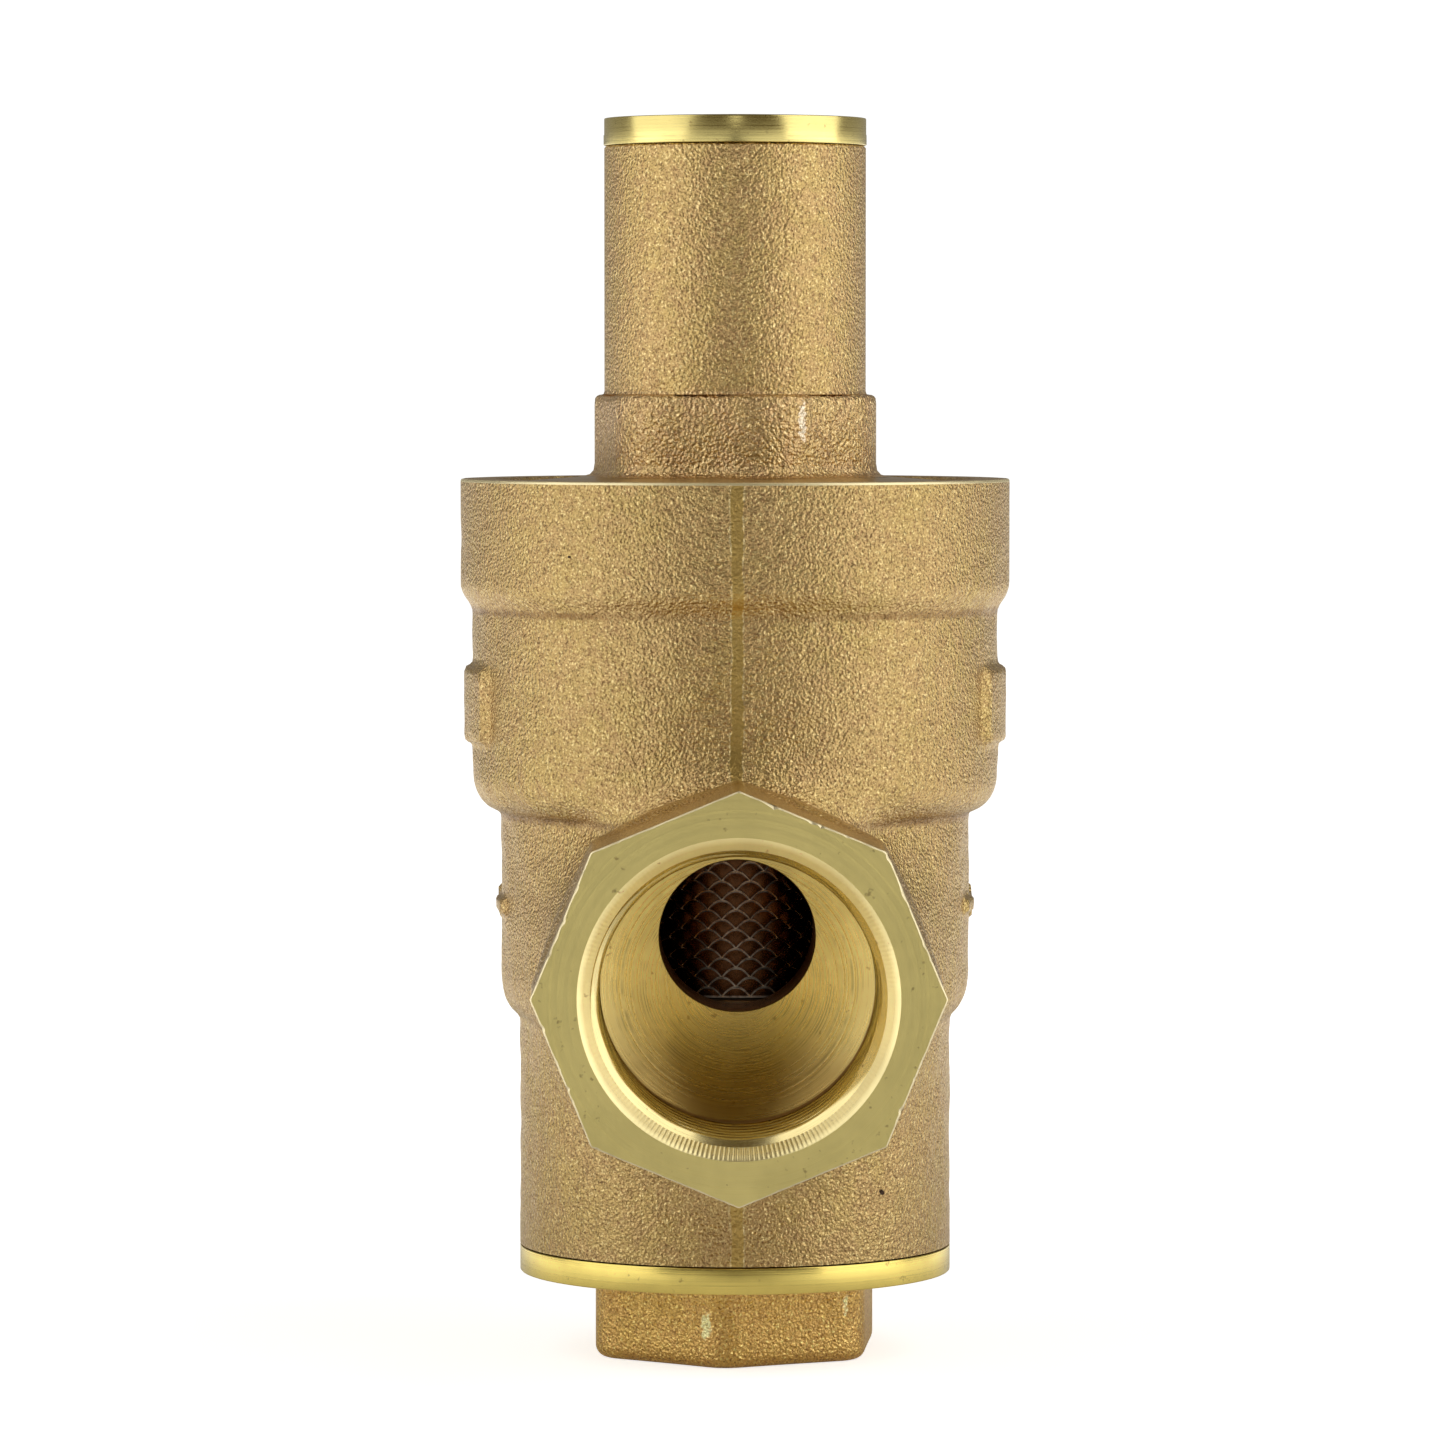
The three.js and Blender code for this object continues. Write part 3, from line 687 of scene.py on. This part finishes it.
def chamber_wall():
    """The band of the chamber's wall that the inlet passage opens into."""
    columns, rows = 384, 72
    heights = np.linspace(CHAMBER_BAND[1], CHAMBER_BAND[0], rows)
    points = np.concatenate([front_ring(CHAMBER_RADIUS, angles(columns), z) for z in heights])
    faces = np.array(grid_faces(rows, columns))
    x, z = points[:, 0], points[:, 2] - PORT_Z - HOLE_RISE
    away = np.hypot(x, z)
    inside = (away < HOLE_RADIUS) & (points[:, 1] < 0)
    faces = faces[~inside[faces].all(axis=1)]
    used = np.zeros(len(points), bool)
    used[faces] = True
    edge = inside & used
    points[edge, 0] = x[edge] / away[edge] * HOLE_RADIUS
    points[edge, 2] = PORT_Z + HOLE_RISE + z[edge] / away[edge] * HOLE_RADIUS
    points[edge, 1] = -np.sqrt(CHAMBER_RADIUS**2 - points[edge, 0] ** 2)
    return new_object("chamber_wall", points, faces.tolist())


# ---- the machined ends

CHAMFER = (10.85, 10.05, 0.85)  # radius at the face, radius inside, depth
THREAD_PITCH = 1.814
THREAD_CREST, THREAD_ROOT = 9.45, 10.25
THREAD_TURN_ROWS = 14
THREAD_END = FACE - 22.5  # depth of the thread
GROOVE_RADIUS = 10.6
CONE_RADIUS = 9.5
CONE_DEPTH = FACE - 21.0
CONE_SLOPE = 1 / math.tan(math.radians(59))
HOLE_RADIUS = 5.45  # the passage
HOLE_RISE = 3.1  # its middle above the port's axis
POCKET_FLOOR = 17.5  # of the outlet, from the valve's axis
CHAMBER_RADIUS = 10.6
CHAMBER_BAND = (24.6, 37.6)  # heights between which the passages open into it
CHATTER = 210  # tool marks round the chamfer


def end_ring(radius, angle, depth, side):
    """A ring round a port's axis. radius and depth may vary round it; side is -1 at the inlet."""
    x, rise = radius * np.sin(angle), radius * np.cos(angle)
    return xyz(x * -side, side * (FACE - depth), PORT_Z + rise)


def end_outside(side):
    """The octagon's sides from the cast skin nearly to the face, where the worn edge with its painted
    highlight begins.
    """
    angle = angles(512)
    outline = polygon_radius(angle, 8, OCTAGON, OCTAGON_CORNER, 0)
    depths = (0.22, 1.2, 3.0, FACE - PRISM_CUT)
    return ring_stack(f"octagon_{side}", [end_ring(outline, angle, depth, side) for depth in depths])


def end_face(side):
    """The milled face with its worn edge, brightened by a painted highlight, the chamfer with tool
    chatter, and the start of the thread.
    """
    columns = CHATTER * 4
    angle = angles(columns)
    outline = polygon_radius(angle, 8, OCTAGON, OCTAGON_CORNER, 0)
    draw = np.random.default_rng(11)
    dents = np.zeros(columns)
    for _ in range(26):
        middle, width = draw.uniform(0, TAU), draw.uniform(0.006, 0.03)
        away = np.angle(np.exp(1j * (angle - middle))) / width
        dents += draw.uniform(0.03, 0.16) * np.exp(-away * away)

    def ring(radius, depth):
        return end_ring(radius, angle, depth, side)

    burr = 0.05 + 0.02 * np.sin(angle * 37) * np.sin(angle * 11)
    chatter = np.cos(angle * CHATTER) * (0.15 + 0.85 * np.exp(-(((angle - math.pi) / 0.75) ** 2)))
    shallow, inner, depth = CHAMFER
    edge = [
        ring(outline, 0.16 + dents),
        ring(outline - burr * 0.3 - dents * 0.3, 0.07 + dents * 0.5),
        ring(outline - burr - 0.06 - dents * 0.8, 0.0),
    ]
    face = edge[-1:]
    face += [ring(outline * t + shallow * (1 - t), 0.0) for t in (0.8, 0.3)]
    face.append(ring(shallow + 0.05, 0.0))
    chamfer = face[-1:] + [
        ring(shallow - 0.03, 0.05),
        ring((shallow + inner) / 2 + 0.035 * chatter, depth / 2 + 0.035 * chatter),
        ring(inner + 0.03 + 0.03 * chatter, depth - 0.03),
        ring(inner - 0.03, depth + 0.03),
    ]
    parts = {"edge": edge, "milled": face, "chamfer": chamfer}
    return [ring_stack(f"{name}_{side}", rings[::-1]) for name, rings in parts.items()]


def end_thread(side):
    """The pipe thread as one helix from the chamfer, and its run-out groove."""
    angle = angles(160)
    start, end = CHAMFER[2] + 0.03, THREAD_END
    rows = int((end - start) / THREAD_PITCH * THREAD_TURN_ROWS)
    rings = []
    for i in range(rows + 1):
        depth = start + (end - start) * i / rows
        phase = np.mod(depth / THREAD_PITCH - angle / TAU, 1.0)
        wave = np.abs(2 * phase - 1)  # 1 at a root, 0 at a crest
        flank = np.clip((wave - 0.12) / 0.76, 0, 1)
        radius = THREAD_CREST + (THREAD_ROOT - THREAD_CREST) * flank
        lead_in = CHAMFER[1] - (depth - start) * 0.9
        rings.append(end_ring(np.maximum(radius, lead_in), angle, depth, side))
    rings.append(end_ring(THREAD_CREST + 0.1, angle, end + 0.02, side))
    steps = [(GROOVE_RADIUS, end + 0.15), (GROOVE_RADIUS, CONE_DEPTH - 0.1)]
    steps += [(CONE_RADIUS + 0.15, CONE_DEPTH), (CONE_RADIUS, CONE_DEPTH + 0.05)]
    relief = rings[-1:] + [end_ring(radius, angle, depth, side) for radius, depth in steps]
    thread = ring_stack(f"thread_{side}", rings[::-1], smooth=50)
    return thread, ring_stack(f"groove_{side}", relief[::-1])


def end_cone(side):
    """The drill's cone, and the passage that leaves it above its middle."""
    angle, rows = angles(192), 14
    rings = []
    for i in range(rows + 1):
        t = i / rows
        radius = CONE_RADIUS * (1 - t) + HOLE_RADIUS * t
        x, rise = radius * np.sin(angle), radius * np.cos(angle) + HOLE_RISE * t
        depth = CONE_DEPTH + 0.05 + (CONE_RADIUS - np.hypot(x, rise)) * CONE_SLOPE
        rings.append(xyz(x * -side, side * (FACE - depth), PORT_Z + rise))
    cone = ring_stack(f"cone_{side}", rings[::-1], smooth=45)
    edge = rings[-1]
    inward = edge.copy()  # the passage is a little narrower than the hole in the cone
    inward[:, 0] *= 0.988
    inward[:, 2] = PORT_Z + HOLE_RISE + (edge[:, 2] - PORT_Z - HOLE_RISE) * 0.988
    inward[:, 1] -= side * 0.12
    far = inward.copy()
    far[:, 1] = POCKET_FLOOR if side > 0 else -np.sqrt(CHAMBER_RADIUS**2 - far[:, 0] ** 2)
    rings = [edge, inward, inward * 0.5 + far * 0.5, far]
    if side > 0:  # the outlet pocket's floor, round the slanted passage behind the seat
        middle = np.array([0, POCKET_FLOOR, PORT_Z + HOLE_RISE])
        rings += [far * t + middle * (1 - t) for t in (0.7, 0.3, 0.02)]
    return cone, ring_stack(f"passage_{side}", rings[::-1], smooth=45)


def valve_body():
    casting = casting_mesh()
    for side in (-1, 1):
        casting = join("body_casting", casting, end_outside(side))
    finish_piece(casting, "casing", "cast_brass", CAST, "valve_body")
    finish_piece(cup_rim(), "casing", "cast_brass", CAST, "valve_body")
    finish_piece(cup_edge(), "casing", "turned_brass", WORN_HIGHLIT_RIM, "valve_body")
    finish_piece(body_bores(), "casing", "turned_brass", TURNED_INSIDE, "valve_body")
    for side, word in ((-1, "inlet"), (1, "outlet")):
        edge, milled, chamfer = end_face(side)
        thread, groove = end_thread(side)
        cone, passage = end_cone(side)
        pieces = {
            "worn_highlit_edge": (edge, WORN_HIGHLIT_EDGE),
            "milled_face": (milled, MILLED_FACE),
            "chamfer": (chamfer, CHAMFERED),
            "thread": (thread, THREADED),
            "thread_relief": (groove, RECESS_SHADED_BRASS),
            "cone": (cone, DRILLED),
            "passage": (passage, RECESS_SHADED_BRASS),
        }
        for kind, (made, material) in pieces.items():
            finish_piece(made, "casing", "turned_brass", material, "valve_body")
            made.name = f"{word}_{kind}"


# ---- bonnet, cap and plug

FINE, INSIDE = 256, 128  # columns round a shape that shows, and round one that hardly does
SLOT_CUT = (0.03, 0.002, 0.0024)  # metres: longer than the cap, its width, twice its depth
NECK_FLATS = 19.2
NECK_CORNER = 5.5
NECK_TURN = math.radians(-75)
NECK_TOP = 68.8
TUBE_RADIUS = 9.35
TUBE_TOP = BONNET_HIGH[2]
SPRING_BORE = 7.7
BOSS_FLATS = 19.3
BOSS_CORNER = 2.4
BOSS_TURN = math.radians(-95)
FLANGE_LOW, FLANGE_HIGH = 5.9, 7.75
FLANGE_RADIUS = PLUG_HIGH[0]
BOSS_EDGE = 0.9  # radius of the boss's lower edge
# the screw threads: crest and root radius, pitch
CAP_THREAD = (7.4, 6.9, 1.0)
PLUG_THREAD = (12.9, 12.2, 1.5)
PLUG_THREAD_TOP = 12.0
HUB_RADIUS, HUB_TOP = 11.4, 14.4


def bonnet():
    """The screwed-in flange, the hexagonal neck with its soft corners, and the spring tube."""
    angle = angles(FINE)
    neck = polygon_radius(angle, 6, NECK_FLATS, NECK_CORNER, NECK_TURN)
    low = BONNET_LOW[2]
    profile = [(SPRING_BORE, low), (16.7, low), (16.7, 62.1), (15.9, 62.45), (9.0, 63.0)]
    flange = turned("bonnet_flange", rounded(profile, 0.25, 4), FINE)
    flare = ((0.9, 62.85), (0.35, 63.0), (0.08, 63.3), (0, 63.8))
    rings = [plane_ring(neck + out, angle, z) for out, z in flare]
    for t in np.linspace(0, 1, 8):
        rings.append(plane_ring(neck, angle, 63.9 + (NECK_TOP - 0.75 - 63.9) * t))
    for a in np.radians([25, 50, 75, 90]):
        out, up = 0.45 * (1 - math.cos(a)), 0.45 * math.sin(a)
        rings.append(plane_ring(neck - out, angle, NECK_TOP - 0.55 + up))
    for out, up in ((0.35, 0.02), (0.15, 0.06), (0.0, 0.25)):
        rings.append(plane_ring(TUBE_RADIUS + out * 0.4, angle, NECK_TOP - 0.1 + up))
    hexagon = ring_stack("bonnet_neck", rings)
    profile = [(TUBE_RADIUS, NECK_TOP + 0.15)]
    profile += [(TUBE_RADIUS, z) for z in np.linspace(NECK_TOP + 1, TUBE_TOP - 1, 10)]
    profile += [(TUBE_RADIUS, TUBE_TOP - 0.12), (TUBE_RADIUS - 0.12, TUBE_TOP), (8.65, TUBE_TOP)]
    profile += [(8.55, TUBE_TOP - 0.1), (8.55, TUBE_TOP - 0.55), (SPRING_BORE, TUBE_TOP - 0.55)]
    tube = turned("bonnet_tube", profile + [(SPRING_BORE, low)], FINE)
    for piece, material in ((flange, SHADED_FLANGE_TOP), (hexagon, CAST_NECK), (tube, CAST_BONNET)):
        finish_piece(piece, "casing", "cast_brass", material, "bonnet")


def helix_thread(name, low, high, crest, root, pitch):
    """An outside thread between two heights, closed by plain rings at both ends."""
    angle = angles(INSIDE)
    rows = int((high - low) / pitch * 12)
    rings = [plane_ring(root, angle, low)]
    for i in range(rows + 1):
        z = low + (high - low) * i / rows
        phase = np.mod(z / pitch - angle / TAU, 1.0)
        wave = 1 - np.abs(2 * phase - 1)
        fade = min(1.0, (z - low) / 0.5, (high - z) / 0.5)
        flank = np.clip((wave - 0.1) / 0.8, 0, 1) * fade
        rings.append(plane_ring(root + (crest - root) * flank, angle, z))
    rings.append(plane_ring(root, angle, high))
    return ring_stack(name, rings, smooth=50)


def adjuster_cap():
    """The slotted cap with its threaded spigot."""
    bottom, low, high = CAP_LOW[2], TUBE_TOP + 0.05, CAP_HIGH[2]
    radius = CAP_HIGH[0]
    profile = [(0.001, low), (radius, low), (radius, high), (0.001, high)]
    flange = turned("cap_flange", rounded(profile, 0.12, 3), FINE)
    bpy.ops.mesh.primitive_cube_add(size=1, location=(0, 0, high * MM))
    slot = bpy.context.object
    slot.scale = SLOT_CUT
    bpy.context.view_layer.update()
    cut(flange, slot)
    root = CAP_THREAD[1]
    spigot = helix_thread("cap_spigot", bottom, low, *CAP_THREAD)
    profile = [(0.001, bottom), (root, bottom), (root, bottom + 0.3)]
    under = turned("cap_spigot_end", rounded(profile, 0.1, 2), INSIDE)
    made = join("cap_turned", flange, spigot, under)
    finish_piece(made, "cap", "turned_brass", TURNED_RING, "adjuster_cap")


def bottom_plug():
    """The machined flange and threaded spigot, and the cast boss below with its soft edges."""
    angle = angles(FINE)
    outline = polygon_radius(angle, 6, BOSS_FLATS, BOSS_CORNER, BOSS_TURN)
    rings = [plane_ring(outline * t, angle, 0.0) for t in (0.002, 0.4, 0.8)]
    for a in np.radians(np.linspace(-90, 0, 8)):
        inset, z = BOSS_EDGE * (1 - math.cos(a)), BOSS_EDGE * (1 + math.sin(a))
        rings.append(plane_ring(outline - inset, angle, z))
    for z in np.linspace(BOSS_EDGE + 0.4, FLANGE_LOW - 0.3, 6):
        rings.append(plane_ring(outline, angle, z))
    rings.append(plane_ring(outline + 0.05, angle, FLANGE_LOW - 0.1))
    rings.append(plane_ring(outline + 0.2, angle, FLANGE_LOW + 0.05))
    boss = ring_stack("plug_boss", rings)
    finish_piece(boss, "plug", "cast_brass", CAST_PLUG, "bottom_plug")

    root, top = PLUG_THREAD[1], PLUG_THREAD_TOP
    profile = [(9.0, FLANGE_LOW), (FLANGE_RADIUS, FLANGE_LOW)]
    profile += [(FLANGE_RADIUS, FLANGE_HIGH), (root + 0.1, FLANGE_HIGH)]
    flange = turned("plug_flange", rounded(profile, [0, 0.1, 0.07, 0], 3), 320)
    thread = helix_thread("plug_thread", FLANGE_HIGH, top, *PLUG_THREAD)
    profile = [(root, top), (HUB_RADIUS, top), (HUB_RADIUS, HUB_TOP), (0.001, HUB_TOP)]
    hub = turned("plug_hub", rounded(profile, 0.1, 2), INSIDE)
    made = join("plug_turned", flange, thread, hub)
    finish_piece(made, "plug", "turned_brass", TURNED_FLANGE, "bottom_plug")


# ---- the strainer and inner pieces


STRANDS_AROUND, STRAND_ROWS, STRAND_RISE = 26, 15, 0.66
STRAINER_LOW, STRAINER_HIGH = MESH_LOW[2] + 0.1, MESH_HIGH[2] - 0.1
ROW_PITCH = (STRAINER_HIGH - STRAINER_LOW - STRAND_RISE) / (STRAND_ROWS - 1)


def strainer_mesh():
    """Expanded metal rolled into a sleeve: staggered arches of narrow strand.

    One row's feet stand on the next row's tops.
    """
    radius = MESH_HIGH[0] - 0.17
    along, sides = 14, 6
    points, faces = [], []
    section = angles(sides) + 0.3

    def strand_point(a, out, z):
        for r, h in zip(out, z):
            points.append((r * math.sin(a), -r * math.cos(a), h))

    for row in range(STRAND_ROWS):
        top = STRAINER_LOW + STRAND_RISE + row * ROW_PITCH
        for column in range(STRANDS_AROUND):
            middle = (column + 0.5 * (row % 2)) * TAU / STRANDS_AROUND
            start = len(points)
            for u in np.linspace(-1, 1, along + 1):
                z = top - STRAND_RISE * (1 - math.cos(u * math.pi * 0.5)) ** 1.15
                lean = 0.05 * (1 - 2 * abs(u))
                up = z + 0.085 * np.sin(section) + 0.04 * np.cos(section)
                out = radius + lean + 0.11 * np.cos(section)
                a = middle + u * TAU / STRANDS_AROUND / 2
                strand_point(a, out, np.clip(up, MESH_LOW[2], MESH_HIGH[2]))
            faces += grid_faces(along + 1, sides, start=start)
    for z in (MESH_LOW[2] + 0.08, MESH_HIGH[2] - 0.08):  # the selvedge rings at both ends
        start = len(points)
        for a in angles(4 * STRANDS_AROUND):
            strand_point(a, radius + 0.12 * np.cos(section), z + 0.08 * np.sin(section))
        faces += grid_faces(4 * STRANDS_AROUND, sides, wrap_rows=True, start=start)
    made = new_object("strainer_expanded_metal", points, faces, smooth=60)
    finish_piece(made, "strainer", "amber_steel", AMBER_STEEL, "strainer_mesh")


def strainer_shade_backing():
    """A near-black sheet inside the expanded metal, pushed a little into each opening: painted shade for
    the strainer's dark inside, with a painted glow down its middle.
    """
    angle = angles(STRANDS_AROUND * 12)
    rings = []
    for z in np.linspace(STRAINER_LOW, STRAINER_HIGH, STRAND_ROWS * 10):
        push = np.zeros(len(angle))
        for parity in (0, 1):
            u = np.mod(angle / TAU * STRANDS_AROUND - parity * 0.5 + 0.5, 1.0) - 0.5
            row = (z - STRAINER_LOW - STRAND_RISE) / ROW_PITCH
            v = np.mod(row - parity, 2.0) / 2  # 1 under an arch, 0 at the foot
            inside = 1 - (2.1 * u) ** 2 / (0.25 + 0.75 * v) - (2 * v - 1.15) ** 2
            push = np.maximum(push, np.clip(inside, 0, 1) ** 0.7)
        rings.append(front_ring(MESH_HIGH[0] - 0.36 + 0.13 * push, angle, z))
    made = ring_stack("strainer_dark_backing", rings, smooth=80)
    finish_piece(made, "strainer", "amber_steel", STRAINER_SHADE_SHEET, "strainer_mesh")


def strainer_collars():
    """The rolled rings at both ends of the strainer."""
    for node in ("strainer_upper_collar", "strainer_lower_collar"):
        low, high = cad_box(node)
        wall = [(7.9, low[2]), (high[0], low[2]), (high[0], high[2]), (7.9, high[2])]
        made = turned(node + "_rolled", rounded(wall, 0.12, 3, closed=True), INSIDE, closed=True)
        finish_piece(made, "strainer", "amber_steel", COLLAR_STEEL, node)


def round_ring(node, body):
    """An O-ring that fills its CAD node's box."""
    low, high = cad_box(node)
    section = (high[2] - low[2]) / 2
    radius, z = high[0] - section, (high[2] + low[2]) / 2
    around = angles(24)
    profile = np.stack([radius + section * np.cos(around), z + section * np.sin(around)], axis=-1)
    made = turned(node + "_moulded", profile, INSIDE, closed=True)
    finish_piece(made, body, "black_rubber", RUBBER, node)


SPRING_LOW, SPRING_HIGH = 50.4, 74.5
SPRING_WIRE, SPRING_RADIUS, SPRING_TURNS = 1.7, 6.0, 7.5
DEAD_TURNS = 0.8  # that lie flat at each end


def spring_half(name, turns_from, turns_to):
    """Part of the spring's helix."""
    low, wire = SPRING_LOW, SPRING_WIRE / 2
    climb_height = SPRING_HIGH - SPRING_LOW - SPRING_WIRE
    steps = int((turns_to - turns_from) * 40)
    section = angles(14)
    rings = []
    for i in range(steps + 1):
        at = turns_from + (turns_to - turns_from) * i / steps
        climb = (at - DEAD_TURNS) / (SPRING_TURNS - 2 * DEAD_TURNS)
        z = low + wire + climb_height * min(max(climb, 0), 1)
        out = SPRING_RADIUS + wire * np.cos(section)
        a = TAU * at
        rings.append(xyz(out * math.cos(a), out * math.sin(a), z + wire * np.sin(section)))
    made = ring_stack(name, rings, smooth=60)
    made.data.materials.append(SPRING_STEEL)
    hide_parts("main_spring")
    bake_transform(made)
    return made


def inner_pieces():
    """Hidden CAD pieces keep their shape and take a finish of their own."""
    finishes = (
        (FIBRE, "bonnet_gasket", "cap_gasket"),
        (TURNED_INSIDE, "adjusting_screw", "piston", "disc_holder"),
        (PLASTIC, "thrust_washer", "guide_ring"),
        (STAINLESS, "upper_spring_seat", "stem", "stem_nut", "seat_ring", "disc_washer", "disc_nut"),
        (RUBBER, "seat_o_ring", "disc_seal"),
    )
    for material, *nodes in finishes:
        for node in nodes:
            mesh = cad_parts[node].data
            mesh.materials.clear()
            mesh.materials.append(material)
    for node, body in (("piston_o_ring", "piston_group"), ("plug_o_ring", "strainer")):
        round_ring(node, body)
    half = SPRING_TURNS / 2
    spring_half("main_spring_lower", 0, half)
    spring_half("main_spring_upper", half, SPRING_TURNS)


# ---- studio


# name: azimuth and elevation in degrees, distance, width and height in metres, radiance
SOFTBOXES = {
    "softbox_left": (-71, 30, 0.60, 0.74, 0.95, 1.14),
    "softbox_right": (72, 30, 0.60, 0.70, 0.95, 1.33),
    "small_front_lamp": (0, 14, 0.70, 0.07, 0.07, 3.0),
}
AIM = Vector((0, 0, 0.045))
# what the brass mirrors where no lamp is: the dark room in front, the grey one behind
ROOM_FRONT = (0.075, 0.055, 0.025)
ROOM_BACK = (0.27, 0.26, 0.25)
BACKDROP = 1.05  # the white seen by the camera
TABLE, PAPER = (0.08, 0.08, 0.08), (0.80, 0.80, 0.80)
TABLE_Y, PAPER_Y = -0.30, -0.09  # metres from the valve's axis
LENS, SENSOR = 179.4, 36
CAMERA_AZIMUTH, CAMERA_DISTANCE, CAMERA_HEIGHT = -0.45, 0.516, 0.0705
CAMERA_AIM = Vector((-0.0009, 0, 0.0452))


def softbox(name, azimuth, elevation, distance, width, height, radiance):
    """A softbox aimed at the valve. Azimuth 0 is the camera's side and 90 is to its right."""
    data = bpy.data.lights.new(name, "AREA")
    data.shape = "RECTANGLE"
    data.size, data.size_y = width, height
    data.energy = radiance * math.pi * width * height
    light = place(name, data)
    a, e = math.radians(azimuth), math.radians(elevation)
    away = Vector((math.sin(a) * math.cos(e), -math.cos(a) * math.cos(e), math.sin(e)))
    light.location = AIM + away * distance
    light.rotation_euler = (-away).to_track_quat("-Z", "Y").to_euler()


def studio():
    """The lamps, and a room that is white to the camera and dim in reflections."""
    scene = bpy.context.scene
    scene.view_settings.view_transform = "Standard"
    scene.view_settings.look = "None"

    world = bpy.data.worlds.new("studio")
    scene.world = world
    world.use_nodes = True
    tree = world.node_tree
    tree.nodes.clear()

    where = put_node(tree, "TexCoord").outputs["Generated"]
    y = put_node(tree, "SeparateXYZ", {0: where}).outputs["Y"]
    to_back = {"Value": y, "From Min": -0.3, "From Max": 0.9}
    back = put_node(tree, "MapRange", to_back, interpolation_type="SMOOTHSTEP").outputs["Result"]
    colours = {0: back, 6: (*ROOM_FRONT, 1), 7: (*ROOM_BACK, 1)}
    room = put_node(tree, "Mix", colours, data_type="RGBA").outputs[2]
    lit = put_node(tree, "Background", {"Color": room}).outputs[0]
    seen = put_node(tree, "Background", {"Color": (1, 1, 1, 1), "Strength": BACKDROP}).outputs[0]
    to_camera = put_node(tree, "LightPath").outputs["Is Camera Ray"]
    choose = put_node(tree, "MixShader", {0: to_camera, 1: lit, 2: seen}).outputs[0]
    put_node(tree, "OutputWorld", {"Surface": choose})
    for name, placed in SOFTBOXES.items():
        softbox(name, *placed)


def floor():
    """White paper round the valve that ends on a dark table in front of it.

    Its glow stands for studio light that the lamps here don't give it, and is dimmed near the valve as
    painted shade.
    """
    mesh = bpy.data.meshes.new("studio_floor")
    half = 3.0
    corners = [(-half, -half, 0), (half, -half, 0), (half, half, 0), (-half, half, 0)]
    mesh.from_pydata(corners, [], [(0, 1, 2, 3)])
    made = place("studio_floor", mesh)
    n = Nodes("white_paper")
    n.shader.inputs["Roughness"].default_value = 0.9
    n.shader.inputs["Specular IOR Level"].default_value = 0.1
    n.shader.inputs["Emission Color"].default_value = (1, 1, 1, 1)
    x, y, _ = n.axes()
    n.link(n.mix(n.ramp(y, TABLE_Y, PAPER_Y), TABLE, PAPER), "Base Color")
    # painted shade: in reflections the floor glows dimly within a few centimetres of the valve's line
    reflected_glow_with_painted_shade = n.ramp(n.size(x), 0.025, 0.08, 0.06, 0.75)
    # painted shade: to the camera the floor glows less within about 26 cm of the valve
    to_camera = n.ramp(n.distance_from_axis(x, y), 60, 260, 0.70, 1.0)
    is_camera = n.put("LightPath").outputs["Is Camera Ray"]
    n.link(n.ramp(is_camera, 0, 1, reflected_glow_with_painted_shade, to_camera), "Emission Strength")
    n.link(n.bump(n.noise(0.6, 2.0, 0.5), 0.01), "Normal")
    mesh.materials.append(n.material)


def camera():
    """A long lens a little above the valve's middle, tipped down to it, as in a product photograph."""
    data = bpy.data.cameras.new("camera")
    data.sensor_width, data.lens = SENSOR, LENS
    data.clip_start, data.clip_end = 0.01, 20
    made = place("camera", data)
    a = math.radians(CAMERA_AZIMUTH)
    away = CAMERA_DISTANCE
    made.location = (away * math.sin(a), -away * math.cos(a), CAMERA_HEIGHT)
    made.rotation_euler = (CAMERA_AIM - made.location).to_track_quat("-Z", "Y").to_euler()
    bpy.context.scene.camera = made


camera()
studio()
floor()
valve_body()
bonnet()
adjuster_cap()
bottom_plug()
strainer_mesh()
strainer_shade_backing()
strainer_collars()
inner_pieces()
